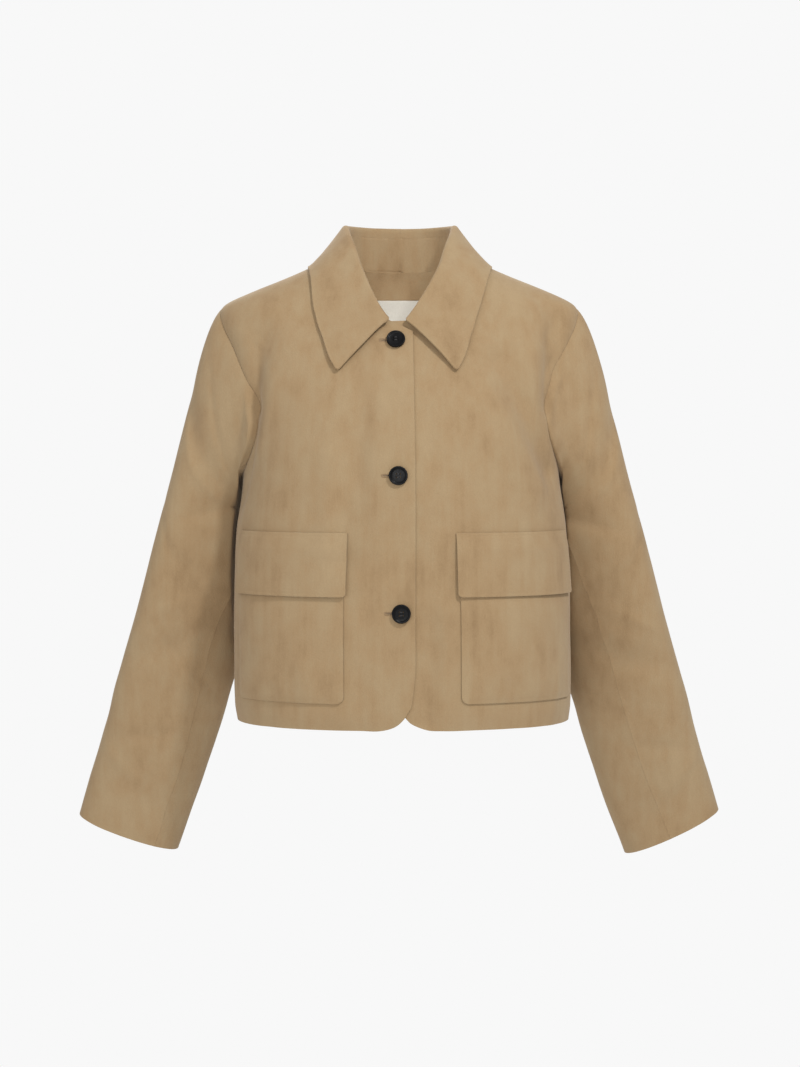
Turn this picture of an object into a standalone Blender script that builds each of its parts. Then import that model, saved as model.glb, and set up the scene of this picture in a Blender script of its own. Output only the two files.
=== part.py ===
"""Cropped suede jacket with a shirt collar, flap pockets and two-piece sleeves.

The jacket is hollow and filled out as it is when worn. Every cut piece is one
thin wall of suede, made as a grid of points on a form and a second grid inside
it. Right and left are the wearer's.

Frame: metres, +Z up, +X to the wearer's left, +Y to the back. The origin lies
between the two points where the shoulder seams meet the neck, which is where
the wearer carries the jacket.
"""

from collections import namedtuple
from math import atan, atan2, cos, degrees, exp, pi, radians, sin, sqrt

import bmesh
import bpy
from mathutils import Matrix, Vector

# ---------------------------------------------------------------- dimensions
WALL = 0.0018             # body and sleeve suede
COLLAR_WALL = 0.0022      # two layers of suede, fused
FLAP_WALL = 0.0020
POCKET_WALL = 0.0018
FACING_WALL = 0.0012
LABEL_WALL = 0.0010
SEAM = 0.0003             # distance between two pieces that are sewn together
UNDERLAP_ROOM = 0.0006    # between the two fronts where they lap

HEM_HEIGHT = -0.508
SHOULDER_TIP_HEIGHT = -0.057
UNDERARM_HEIGHT = -0.243
SIDE_SEAM_ANGLE = 95.0    # degrees round from the centre front

LAP_CORNER_HEIGHT = -0.460    # where the front edge starts to round into the hem
LAP_CORNER_REACH = 0.041      # how far that rounding runs along the hem
LAP_CORNER_HANDLE = 0.004
UNDERLAP_WIDTH = 0.009        # hidden front's edge, past the button line
LAP_NECK_DROPS = (0.0120, 0.0050)    # the lapping front's neck slopes down to its edge
LAP_RAMP_START = -0.048       # the lapping front rises off the form from here ...
LAP_RAMP_END = -0.020         # ... to here, measured across the chest

POCKET_INNER_ANGLE = 19.0     # degrees round from the centre front
LEFT_POCKET_OUTER_ANGLE = 71.0
RIGHT_POCKET_OUTER_ANGLE = 66.0
POCKET_TOP = -0.318
POCKET_BOTTOM = -0.480
POCKET_CORNER = 0.004
POCKET_BULGE = 0.0028
FLAP_TOP = -0.301
FLAP_BOTTOM = -0.368
FLAP_OVERHANG_ANGLE = 0.9     # the flap is wider than its pocket at each side
FLAP_FLARE = 0.0014
FLAP_CORNER = 0.0025

BUTTON_RADIUS = 0.0100
BUTTON_THICKNESS = 0.0032
BUTTON_DISH = 0.0009
BUTTON_RIM = 0.0018
BUTTON_HOLE_RADIUS = 0.0010
BUTTON_HOLE_SPACING = 0.0034
BUTTON_HOLE_SIDES = 8
BUTTON_EDGE_ROUND = 0.0008
BUTTON_RIM_ROUND = 0.0007
BUTTON_RIM_FALL = 0.0001      # the rim's inner edge lies this much below its top
BUTTON_RIM_SLOPE = 0.0010     # width of the slope from the rim down to the dish
BUTTON_REST = 0.00045         # between a button's back and the suede
BUTTON_SIDES = 20
BUTTON_HEIGHTS = {"button_top": -0.0983, "button_middle": -0.241, "button_bottom": -0.385}

LABEL_TOP = -0.044
LABEL_DEPTH = 0.044
LABEL_HALF_WIDTH = 0.031

STAND_SHARE = 0.86            # of the height from the neck seam to the fold
CAP_SHARE = 0.34              # of a sleeve's length, from armhole to biceps
SLEEVE_CLEARANCE = 0.0030     # between a sleeve and the body beside it
SLEEVE_FULLNESS = 2.15
NORMAL_SHARE_STEP = 0.015     # half the patch over which a sleeve's normal is taken, along ...
NORMAL_ANGLE_STEP = 14.0      # ... and round the sleeve
SLEEVE_SEAM_RADIUS = 0.017    # a seam's width becomes an angle at this radius
ARMHOLE_SEAM = 0.0004
ARMHOLE_SCALE = 0.12          # metres round the body for each radian, at the armhole
CLEAR_SOFTNESS = 0.004        # rounds the change where a piece begins to press on the body
NECK_FADE = 5                 # how fast the neckline's shape leaves the rows below it
NECK_SEAM = 0.0013
NECK_EDGE_HEIGHT = -0.075     # where the front edges meet the neckline
NECK_FOLD_FADE = 0.05         # folds die out over this height below the neck seam
SLEEVE_FOLD_FADE = 0.12       # ... and over this share of a sleeve below its armhole
FOLD_STAGGER = 0.012          # the two sleeves do not crease at the same height
CAP_OUTWARD = 0.062           # how the sleeve head leaves the armhole
CAP_DOWNWARD = 0.042
CAP_FULL_GAP = 0.12
CAP_UNDERARM_SPREAD = 0.45    # the sleeve leaves the underarm less outward than the shoulder
CUFF_SLANT_OFFSET = 2.6       # the left cuff hangs steeper than the right one ...
CUFF_SLANT_START = 0.4        # ... from this share of the lower sleeve on
CAP_CLEAR_SHARE = 0.4         # the sleeve head stands clear of the body from this share on
CAP_LEAST_SOFTNESS = 0.1
CAP_SEAM_SHARE = 0.15         # up to here the sleeve head keeps close to its seam
ARMHOLE_END_SHARE = 0.1       # part of the armhole over which its ends turn into the seams
SHOULDER_END_SHARE = 0.15
FIRST_ROLL_TURN = 150.0       # the collar's roll before it is fitted to the leaf, in degrees
ROLL_FITS = 4
LEAF_START_SHARE = 0.2        # the roll ends along the way to this share of the leaf
ANGLE_NUDGE = 0.4             # distances over which slopes of the form are taken
HEIGHT_NUDGE = 0.001
SHARE_NUDGE = 0.01
CREASE_ANGLE = 40.0           # edges sharper than this are shaded sharp

# ------------------------------------------------------------------- colours
SUEDE_COLOUR = (0.402, 0.278, 0.160, 1.0)
LABEL_COLOUR = (0.64, 0.61, 0.53, 1.0)
BUTTON_COLOUR = (0.012, 0.012, 0.014, 1.0)

# -------------------------------------------------------------------- tables
TorsoSection = namedtuple("TorsoSection", "height half_width front_depth back_depth fullness sideways")
TORSO_SECTIONS = (
    TorsoSection(-0.508, 0.1815, 0.1225, 0.1205, 2.35, 0.0030),
    TorsoSection(-0.490, 0.1840, 0.1245, 0.1225, 2.35, 0.0028),
    TorsoSection(-0.430, 0.1845, 0.1250, 0.1235, 2.35, 0.0025),
    TorsoSection(-0.370, 0.1840, 0.1250, 0.1235, 2.35, 0.0020),
    TorsoSection(-0.300, 0.1805, 0.1245, 0.1240, 2.32, 0.0015),
    TorsoSection(-0.247, 0.1740, 0.1230, 0.1240, 2.30, 0.0010),
    TorsoSection(-0.205, 0.1735, 0.1180, 0.1220, 2.28, 0.0005),
    TorsoSection(-0.170, 0.1775, 0.1095, 0.1180, 2.25, 0.0000),
    TorsoSection(-0.135, 0.1840, 0.0985, 0.1115, 2.22, 0.0000),
    TorsoSection(-0.100, 0.1925, 0.0830, 0.1020, 2.20, -0.0005),
    TorsoSection(-0.076, 0.1980, 0.0690, 0.0930, 2.15, -0.0010),
    TorsoSection(-0.057, 0.1930, 0.0610, 0.0840, 2.12, -0.0010),
    TorsoSection(-0.043, 0.1670, 0.0560, 0.0760, 2.10, -0.0005),
    TorsoSection(-0.025, 0.1230, 0.0500, 0.0670, 2.10, 0.0000),
    TorsoSection(-0.012, 0.0930, 0.0450, 0.0590, 2.10, 0.0000),
    TorsoSection(0.000, 0.0680, 0.0400, 0.0500, 2.10, 0.0000),
)

NecklinePoint = namedtuple("NecklinePoint", "angle height")
NECKLINE = (
    NecklinePoint(0.0, -0.0765),
    NecklinePoint(4.0, -0.0745),
    NecklinePoint(8.5, -0.0640),
    NecklinePoint(13.5, -0.0460),
    NecklinePoint(23.5, -0.0270),
    NecklinePoint(39.5, -0.0130),
    NecklinePoint(61.0, -0.0040),
    NecklinePoint(90.0, 0.0000),
    NecklinePoint(112.0, -0.0025),
    NecklinePoint(133.0, -0.0060),
    NecklinePoint(152.0, -0.0110),
    NecklinePoint(168.0, -0.0136),
    NecklinePoint(180.0, -0.0140),
)

ArmholePoint = namedtuple("ArmholePoint", "angle height")
FRONT_ARMHOLE = (
    ArmholePoint(95.0, -0.243),
    ArmholePoint(86.0, -0.240),
    ArmholePoint(75.0, -0.226),
    ArmholePoint(66.0, -0.204),
    ArmholePoint(61.5, -0.180),
    ArmholePoint(61.0, -0.160),
    ArmholePoint(64.0, -0.133),
    ArmholePoint(67.0, -0.108),
    ArmholePoint(73.0, -0.083),
    ArmholePoint(80.0, -0.067),
    ArmholePoint(90.0, -0.057),
)
BACK_ARMHOLE = (
    ArmholePoint(95.0, -0.243),
    ArmholePoint(103.0, -0.238),
    ArmholePoint(111.0, -0.222),
    ArmholePoint(116.0, -0.196),
    ArmholePoint(116.5, -0.170),
    ArmholePoint(114.0, -0.140),
    ArmholePoint(109.0, -0.108),
    ArmholePoint(102.0, -0.080),
    ArmholePoint(96.0, -0.065),
    ArmholePoint(90.0, -0.057),
)

FrontEdge = namedtuple("FrontEdge", "height button_line lap_edge")
FRONT_EDGE = (
    FrontEdge(-0.508, 0.0035, 0.0160),
    FrontEdge(-0.385, 0.0013, 0.0160),
    FrontEdge(-0.241, -0.0018, 0.0160),
    FrontEdge(-0.095, -0.0045, 0.0138),
    FrontEdge(-0.060, -0.0045, 0.0134),
)

# A fold is a soft trough (negative depth) or ridge between two points on the
# form. Angles are signed: negative is the wearer's right side.
Fold = namedtuple("Fold", "start_angle start_height end_angle end_height width depth")
BODY_FOLDS = (
    Fold(-50.0, -0.095, -62.0, -0.165, 0.019, -0.0045),
    Fold(-60.0, -0.170, -78.0, -0.265, 0.018, -0.0050),
    Fold(56.0, -0.085, 62.0, -0.160, 0.020, -0.0050),
    Fold(33.0, -0.120, 62.0, -0.235, 0.020, -0.0045),
    Fold(26.0, -0.170, 50.0, -0.262, 0.018, 0.0030),
    Fold(-14.0, -0.190, -17.0, -0.330, 0.018, -0.0030),
    Fold(9.0, -0.400, 8.0, -0.495, 0.015, -0.0030),
    Fold(16.0, -0.385, 15.0, -0.505, 0.016, 0.0025),
    Fold(-20.0, -0.490, -14.0, -0.400, 0.016, 0.0022),
    Fold(118.0, -0.190, 150.0, -0.330, 0.022, -0.0055),
    Fold(-116.0, -0.180, -146.0, -0.350, 0.022, -0.0055),
    Fold(-128.0, -0.240, -160.0, -0.440, 0.024, 0.0040),
    Fold(132.0, -0.260, 158.0, -0.430, 0.022, 0.0035),
    Fold(176.0, -0.300, 183.0, -0.508, 0.024, -0.0040),
    Fold(108.0, -0.300, 112.0, -0.500, 0.020, -0.0035),
    Fold(-106.0, -0.330, -110.0, -0.505, 0.020, -0.0035),
)

SleeveSection = namedtuple("SleeveSection", "height centre_x centre_y half_width half_depth turn slant")
SLEEVE_SECTIONS = (
    SleeveSection(-0.272, 0.1999, 0.027, 0.0645, 0.034, 36.0, 13.0),
    SleeveSection(-0.324, 0.2120, 0.031, 0.0662, 0.033, 33.0, 13.0),
    SleeveSection(-0.380, 0.2252, 0.037, 0.0665, 0.032, 29.0, 14.0),
    SleeveSection(-0.436, 0.2402, 0.043, 0.0657, 0.031, 25.0, 15.5),
    SleeveSection(-0.494, 0.2575, 0.051, 0.0645, 0.030, 19.0, 17.0),
    SleeveSection(-0.553, 0.2755, 0.060, 0.0618, 0.029, 14.0, 18.0),
    SleeveSection(-0.605, 0.2930, 0.068, 0.0605, 0.029, 11.5, 20.0),
    SleeveSection(-0.645, 0.3065, 0.074, 0.0592, 0.029, 12.0, 23.0),
)
SLEEVE_TWIST = 40.0           # the sleeve's grain turns back this much at the biceps

# Where the two seams of a sleeve run, in degrees round it from its outer edge
# by way of its front, against the share of the sleeve's length.
SleeveSeam = namedtuple("SleeveSeam", "share front_right front_left back")
SLEEVE_SEAMS = (
    SleeveSeam(0.00, 126.0, 126.0, 270.0),
    SleeveSeam(0.30, 125.0, 127.5, 278.0),
    SleeveSeam(0.60, 131.0, 115.0, 287.0),
    SleeveSeam(1.00, 119.0, 90.0, 290.0),
)

# A fold round a sleeve: troughs across it, deepest on the bend of the elbow.
SleeveFold = namedtuple("SleeveFold", "share angle slope width reach depth")
SLEEVE_FOLDS = (
    SleeveFold(0.24, 60.0, 0.05, 0.030, 50.0, -0.0045),
    SleeveFold(0.33, 150.0, -0.04, 0.028, 60.0, -0.0040),
    SleeveFold(0.55, 140.0, 0.05, 0.030, 60.0, -0.0035),
    SleeveFold(0.63, 95.0, -0.05, 0.028, 60.0, -0.0030),
    SleeveFold(0.74, 265.0, 0.03, 0.035, 70.0, -0.0035),
    SleeveFold(0.93, 110.0, 0.02, 0.040, 45.0, -0.0035),
)

# The collar from its front end to the centre back. The fold is the top of the
# roll; the edge is the outline of the leaf, standing off the body by standoff.
CollarStation = namedtuple(
    "CollarStation", "neck_angle fold_x fold_y fold_z edge_angle edge_z standoff roll"
)
COLLAR_STATIONS = (
    CollarStation(4.0, 0.0105, -0.0780, -0.0755, 19.6, -0.1316, 0.0065, 0.0031),
    CollarStation(8.5, 0.0210, -0.0700, -0.0570, 21.9, -0.1147, 0.0062, 0.0033),
    CollarStation(13.5, 0.0310, -0.0595, -0.0380, 23.7, -0.0903, 0.0060, 0.0036),
    CollarStation(23.5, 0.0405, -0.0475, -0.0170, 26.9, -0.0587, 0.0058, 0.0040),
    CollarStation(31.0, 0.0456, -0.0390, -0.0040, 32.7, -0.0436, 0.0056, 0.0041),
    CollarStation(39.5, 0.0500, -0.0300, 0.0080, 41.1, -0.0323, 0.0055, 0.0042),
    CollarStation(50.0, 0.0533, -0.0212, 0.0163, 51.6, -0.0242, 0.0052, 0.0043),
    CollarStation(61.0, 0.0555, -0.0130, 0.0220, 62.3, -0.0192, 0.0050, 0.0043),
    CollarStation(90.0, 0.0590, 0.0080, 0.0325, 90.0, -0.0140, 0.0045, 0.0044),
    CollarStation(112.0, 0.0570, 0.0240, 0.0340, 110.0, -0.0175, 0.0050, 0.0045),
    CollarStation(138.0, 0.0460, 0.0420, 0.0345, 136.5, -0.0245, 0.0060, 0.0046),
    CollarStation(160.0, 0.0260, 0.0550, 0.0342, 159.0, -0.0285, 0.0065, 0.0046),
    CollarStation(180.0, 0.0000, 0.0590, 0.0340, 180.0, -0.0290, 0.0065, 0.0046),
)
COLLAR_SHIFT_START = -0.012   # below this height the collar leans sideways ...
COLLAR_SHIFT_END = -0.080
COLLAR_SHIFT = -0.0032        # ... by this much, as the button line does
LEAF_SETTLING = 1.4           # how soon the leaf comes down on to the body

# ------------------------------------------------------------ grid densities
# Panels share their rows and columns with whatever is sewn on them, so that a
# piece on a panel is made from the panel's own points.
ROWS_BELOW_ARMHOLE = (
    -0.508, POCKET_BOTTOM, -0.445, -0.407, FLAP_BOTTOM, -0.343, POCKET_TOP, FLAP_TOP, -0.272,
    UNDERARM_HEIGHT,
)
ARMHOLE_STEPS = 10
LAP_ANGLE = 0.0
LEFT_FRONT_ANGLES = (
    3.0, 8.0, 13.5, POCKET_INNER_ANGLE, 27.5, 36.0, 45.0, 54.0, 62.5, LEFT_POCKET_OUTER_ANGLE, 79.0, 87.0,
)
RIGHT_FRONT_ANGLES = (
    3.0, 8.0, 13.5, POCKET_INNER_ANGLE, 27.5, 36.0, 44.5, 52.5, 60.0, RIGHT_POCKET_OUTER_ANGLE, 76.0, 87.0,
)
FRONT_NECK_ANGLES = (4.0, 8.5, 14.0, 22.0, 33.0, 48.0, 68.0)
FRONT_SHOULDER_STEPS = 5
BACK_ANGLES = (180.0, 171.5, 163.0, 154.5, 145.5, 136.5, 128.0, 119.5, 111.5, 103.0)
BACK_SHOULDER_STEPS = 5
CAP_ROWS = 6
SLEEVE_ROWS = 9
RING_STEP = 180.0 / ARMHOLE_STEPS
FACING_ROWS = 4
FALL_ROWS = 6
ROLL_STEPS = 4
STAND_ROWS = 3


class Profile:
    """A smooth curve through a short table, read by the table's first column."""

    def __init__(self, rows):
        self.keys = [row[0] for row in rows]
        self.columns = {
            name: [getattr(row, name) for row in rows] for name in rows[0]._fields[1:]
        }

    def at(self, key, name):
        return curve_value(self.keys, self.columns[name], key)


def curve_value(keys, values, key):
    """Value at key on a smooth curve through the values, level past both ends."""
    last = len(keys) - 1
    if key <= keys[0]:
        return values[0]
    if key >= keys[last]:
        return values[last]
    low = max(i for i in range(last) if keys[i] <= key)

    def slope(index):
        before = max(index - 1, 0)
        after = min(index + 1, last)
        return (values[after] - values[before]) / (keys[after] - keys[before])

    span = keys[low + 1] - keys[low]
    t = (key - keys[low]) / span
    rise = values[low + 1] - values[low]
    start_slope = slope(low) * span
    end_slope = slope(low + 1) * span
    bend = start_slope + end_slope - 2 * rise
    return values[low] + t * (start_slope + t * (rise - start_slope - bend + t * bend))


def mix(start, end, share):
    return start + (end - start) * share


def smooth_step(share):
    share = min(max(share, 0.0), 1.0)
    return share * share * (3.0 - 2.0 * share)


def steps(first, last, count):
    """Evenly spaced values from first to last, both included."""
    return [mix(first, last, i / count) for i in range(count + 1)]


def wrapped(angle_degrees):
    return (angle_degrees + 180.0) % 360.0 - 180.0


# ---------------------------------------------------------------- body form
TORSO = Profile(TORSO_SECTIONS)
NECK = Profile(NECKLINE)
EDGE = Profile(FRONT_EDGE)
FOLD_SCALE = 0.155            # metres round the body for each radian


def section_radius(angle, fullness):
    """Radius of a rounded unit section whose width and depth are both one."""
    return (abs(sin(angle)) ** fullness + abs(cos(angle)) ** fullness) ** (-1.0 / fullness)


def section_depth(angle, height):
    """Half depth of the body's section, from its front value to its back value."""
    front = TORSO.at(height, "front_depth")
    back = TORSO.at(height, "back_depth")
    return 0.5 * (front + back) + 0.5 * (front - back) * cos(angle)


def form_point(angle_degrees, height):
    """Point of the plain body form at an angle round from the centre front."""
    angle = radians(angle_degrees)
    radius = section_radius(angle, TORSO.at(height, "fullness"))
    x = TORSO.at(height, "sideways") + TORSO.at(height, "half_width") * radius * sin(angle)
    return Vector((x, -section_depth(angle, height) * radius * cos(angle), height))


def surface_normal(surface, u, v, step_u, step_v, outward):
    """Unit normal of surface(u, v), turned to the side that outward points to."""
    across = surface(u + step_u, v) - surface(u - step_u, v)
    along = surface(u, v + step_v) - surface(u, v - step_v)
    normal = across.cross(along).normalized()
    return normal if normal.dot(outward) > 0 else -normal


def form_normal(angle_degrees, height):
    below_top = min(height, -1.2 * HEIGHT_NUDGE)
    outward = form_point(angle_degrees, height) - Vector((0.0, 0.0, height - 0.05))
    return surface_normal(form_point, angle_degrees, below_top, ANGLE_NUDGE, HEIGHT_NUDGE, outward)


def fold_move(angle_degrees, height):
    """How far the folds move the suede off the plain form; none at the neck seam."""
    total = 0.0
    for fold in BODY_FOLDS:
        run_x = radians(fold.end_angle - fold.start_angle) * FOLD_SCALE
        run_z = fold.end_height - fold.start_height
        from_x = radians(wrapped(angle_degrees - fold.start_angle)) * FOLD_SCALE
        from_z = height - fold.start_height
        along = (from_x * run_x + from_z * run_z) / (run_x ** 2 + run_z ** 2)
        nearest = min(max(along, 0.0), 1.0)
        gap_squared = (from_x - nearest * run_x) ** 2 + (from_z - nearest * run_z) ** 2
        total += fold.depth * exp(-gap_squared / fold.width ** 2)
    neck_height = NECK.at(abs(wrapped(angle_degrees)), "height")
    return total * smooth_step((neck_height - height) / NECK_FOLD_FADE)


def skin_point(angle_degrees, height, lift=0.0):
    """Point on the folded body, moved out by lift."""
    move = fold_move(angle_degrees, height) + lift
    return form_point(angle_degrees, height) + form_normal(angle_degrees, height) * move


def angle_across(x, height):
    """Angle of the point of the body's front that lies at x."""
    share = (x - TORSO.at(height, "sideways")) / TORSO.at(height, "half_width")
    fullness = TORSO.at(height, "fullness")
    power = min(abs(share), 0.9995) ** fullness
    angle = degrees(atan((power / (1.0 - power)) ** (1.0 / fullness)))
    return angle if share >= 0 else -angle


def lap_lift(x):
    """How far the lapping front rises to pass over the other one."""
    share = smooth_step((x - LAP_RAMP_START) / (LAP_RAMP_END - LAP_RAMP_START))
    return (WALL + UNDERLAP_ROOM) * share


def clear_of_body(point, clearance, softness=CLEAR_SOFTNESS):
    """The point, moved out from the body's axis until it clears the form."""
    height = min(point.z, -0.001)
    sideways = TORSO.at(height, "sideways")
    angle = atan2(point.x - sideways, -point.y)
    fullness = TORSO.at(height, "fullness")
    width_part = (abs(sin(angle)) / TORSO.at(height, "half_width")) ** fullness
    depth_part = (abs(cos(angle)) / section_depth(angle, height)) ** fullness
    limit = (width_part + depth_part) ** (-1.0 / fullness) + clearance
    distance = sqrt((point.x - sideways) ** 2 + point.y ** 2)
    over = distance - limit
    moved = limit + 0.5 * (over + sqrt(over * over + softness ** 2))
    scale = moved / distance
    return Vector((sideways + (point.x - sideways) * scale, point.y * scale, point.z))


# ------------------------------------------------------------------- meshes
def make_material(name, colour, roughness, metallic=0.0):
    material = bpy.data.materials.new(name)
    material.use_nodes = True
    shader = material.node_tree.nodes["Principled BSDF"]
    shader.inputs["Base Color"].default_value = colour
    shader.inputs["Roughness"].default_value = roughness
    shader.inputs["Metallic"].default_value = metallic
    return material


def add_object(name, mesh, material):
    mesh.materials.append(material)
    mesh.shade_smooth()
    mesh.set_sharp_from_angle(angle=radians(CREASE_ANGLE))
    piece = bpy.data.objects.new(name, mesh)
    bpy.context.scene.collection.objects.link(piece)
    return piece


def face_outwards(mesh):
    shape = bmesh.new()
    shape.from_mesh(mesh)
    bmesh.ops.recalc_face_normals(shape, faces=shape.faces[:])
    if shape.calc_volume(signed=True) < 0:
        bmesh.ops.reverse_faces(shape, faces=shape.faces[:])
    shape.to_mesh(mesh)
    shape.free()


def add_wall(name, material, sheet, thickness):
    """One closed sheet: a grid of outer points and a second grid inside it."""
    rows = len(sheet.points)
    columns = len(sheet.points[0])
    vertices = [point for row in sheet.points for point in row]
    vertices += [
        point - normal * thickness
        for point_row, normal_row in zip(sheet.points, sheet.normals)
        for point, normal in zip(point_row, normal_row)
    ]
    inner = rows * columns
    faces = []
    for r in range(rows - 1):
        for c in range(columns - 1):
            first = r * columns + c
            quad = (first, first + 1, first + 1 + columns, first + columns)
            faces.append(quad)
            back = (first, first + columns, first + 1 + columns, first + 1)
            faces.append([corner + inner for corner in back])
    border = [c for c in range(columns)]
    border += [r * columns + columns - 1 for r in range(1, rows)]
    border += [(rows - 1) * columns + c for c in range(columns - 2, -1, -1)]
    border += [r * columns for r in range(rows - 2, 0, -1)]
    for here, following in zip(border, border[1:] + border[:1]):
        low = min(here, following)
        high = max(here, following)
        faces += [(low, high, high + inner), (low, high + inner, low + inner)]
    mesh = bpy.data.meshes.new(name)
    mesh.from_pydata([tuple(vertex) for vertex in vertices], [], faces)
    face_outwards(mesh)
    return add_object(name, mesh, material)


class Sheet:
    """A grid of outer points with outward normals, and their places on the body."""

    def __init__(self, points, normals, places=None):
        self.points = points
        self.normals = normals
        self.places = places

    def block(self, rows, columns, lift):
        """Part of the sheet, moved out by lift(place)."""
        points = [
            [
                self.points[r][c] + self.normals[r][c] * lift(self.places[r][c])
                for c in columns
            ]
            for r in rows
        ]
        normals = [[self.normals[r][c] for c in columns] for r in rows]
        places = [[self.places[r][c] for c in columns] for r in rows]
        return Sheet(points, normals, places)

    def on_facets(self, place):
        """Point and normal of the faceted sheet at a place inside it."""
        for r in range(len(self.places) - 1):
            for c in range(len(self.places[0]) - 1):
                corners = ((r, c), (r, c + 1), (r + 1, c + 1), (r + 1, c))
                for triangle in ((0, 1, 2), (0, 2, 3)):
                    picked = [corners[i] for i in triangle]
                    weights = triangle_weights(place, [self.places[i][j] for i, j in picked])
                    if min(weights) > -1e-6:
                        point = Vector()
                        normal = Vector()
                        for weight, (i, j) in zip(weights, picked):
                            point += self.points[i][j] * weight
                            normal += self.normals[i][j] * weight
                        return point, normal.normalized()
        raise ValueError("the place lies outside the sheet")


def triangle_weights(place, corners):
    """Weights of a triangle's corners at a place; one is negative outside it."""
    (ax, ay), (bx, by), (cx, cy) = corners
    area = (bx - ax) * (cy - ay) - (cx - ax) * (by - ay)
    if abs(area) < 1e-12:
        return (-1.0, -1.0, -1.0)
    second = ((place[0] - ax) * (cy - ay) - (cx - ax) * (place[1] - ay)) / area
    third = ((bx - ax) * (place[1] - ay) - (place[0] - ax) * (by - ay)) / area
    return (1.0 - second - third, second, third)


def sheet_on_body(places, lift):
    """Sheet on the folded body through a grid of (angle, height) places."""
    points = []
    normals = []
    for row in places:
        points.append([skin_point(angle, height, lift((angle, height))) for angle, height in row])
        normals.append([form_normal(angle, height) for angle, height in row])
    return Sheet(points, normals, places)


# ------------------------------------------------------------- body panels
SEAM_ANGLE = degrees(0.5 * SEAM / 0.170)           # half the seam gap at the side
SHOULDER_SEAM_ANGLE = degrees(0.5 * SEAM / 0.045)  # the same at the shoulder


def path_shares(places):
    """Share of the whole length at each of the (angle, height) places."""
    lengths = [0.0]
    for before, after in zip(places, places[1:]):
        across = radians(after[0] - before[0]) * ARMHOLE_SCALE
        lengths.append(lengths[-1] + sqrt(across ** 2 + (after[1] - before[1]) ** 2))
    return [length / lengths[-1] for length in lengths]


def armhole_place(table, share):
    """Angle and height on one half of the armhole, from underarm to shoulder tip."""
    shares = path_shares(table)
    angle = curve_value(shares, [row.angle for row in table], share)
    return angle, curve_value(shares, [row.height for row in table], share)


def armhole_edge(table, sign):
    """Places up one side of the armhole, half a seam inside it at both ends."""
    edge = []
    for share in steps(0.0, 1.0, ARMHOLE_STEPS):
        angle, height = armhole_place(table, share)
        near_shoulder = smooth_step((share - 1.0 + SHOULDER_END_SHARE) / SHOULDER_END_SHARE)
        inset = mix(SEAM_ANGLE, SHOULDER_SEAM_ANGLE, near_shoulder)
        near_end = 1.0 - smooth_step(share / ARMHOLE_END_SHARE)
        near_end += smooth_step((share - 1.0 + ARMHOLE_END_SHARE) / ARMHOLE_END_SHARE)
        edge.append((angle + sign * inset * near_end, height))
    return edge


def neck_and_shoulder(neck_angles, seam_angle):
    """Places along the neckline, then out along the shoulder seam."""
    top = [(angle, NECK.at(angle, "height")) for angle in neck_angles + [seam_angle]]
    top_height = NECK.at(seam_angle, "height")
    for share in steps(0.0, 1.0, FRONT_SHOULDER_STEPS)[1:]:
        top.append((seam_angle, mix(top_height, SHOULDER_TIP_HEIGHT, share)))
    return top


def filled_patch(bottom, top, left, right):
    """Grid of places inside four lists of edge places that share their corners.

    The straight patch between the corners gets each edge's departure from its
    chord. The neck's departure fades fast, so that rows stay level lower down.
    """
    last_column = len(bottom) - 1
    last_row = len(left) - 1
    across = [(place[0] - bottom[0][0]) / (bottom[-1][0] - bottom[0][0]) for place in bottom]

    def straight(u, v, part):
        low = mix(bottom[0][part], bottom[-1][part], u)
        high = mix(top[0][part], top[-1][part], u)
        return mix(low, high, v)

    grid = []
    for r in range(last_row + 1):
        v = r / last_row
        row = []
        for c in range(last_column + 1):
            u = across[c]
            place = []
            for part in (0, 1):
                value = straight(u, v, part)
                value += (bottom[c][part] - straight(u, 0.0, part)) * (1.0 - v) ** 3
                value += (top[c][part] - straight(u, 1.0, part)) * v ** NECK_FADE
                value += (left[r][part] - straight(0.0, v, part)) * (1.0 - u)
                value += (right[r][part] - straight(1.0, v, part)) * u
                place.append(value)
            row.append(tuple(place))
        grid.append(row)
    return grid


def corner_place(share):
    """Rounding between a front edge and the hem: inset from the edge, and height."""
    start = (1.0 - share) ** 2
    handle = 2.0 * share * (1.0 - share)
    end = share ** 2
    inset = handle * LAP_CORNER_HANDLE + end * LAP_CORNER_REACH
    return inset, start * LAP_CORNER_HEIGHT + (handle + end) * HEM_HEIGHT


def corner_share(value, part):
    """Share of the rounding at which it has a given inset (part 0) or height (part 1)."""
    low, high = 0.0, 1.0
    rising = corner_place(1.0)[part] > corner_place(0.0)[part]
    for _ in range(30):
        middle = 0.5 * (low + high)
        if (corner_place(middle)[part] < value) == rising:
            low = middle
        else:
            high = middle
    return 0.5 * (low + high)


def front_edge_x(side, height):
    """Where a front ends near the middle of the body."""
    if side < 0:
        return EDGE.at(height, "lap_edge")
    return EDGE.at(height, "button_line") - UNDERLAP_WIDTH


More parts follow.
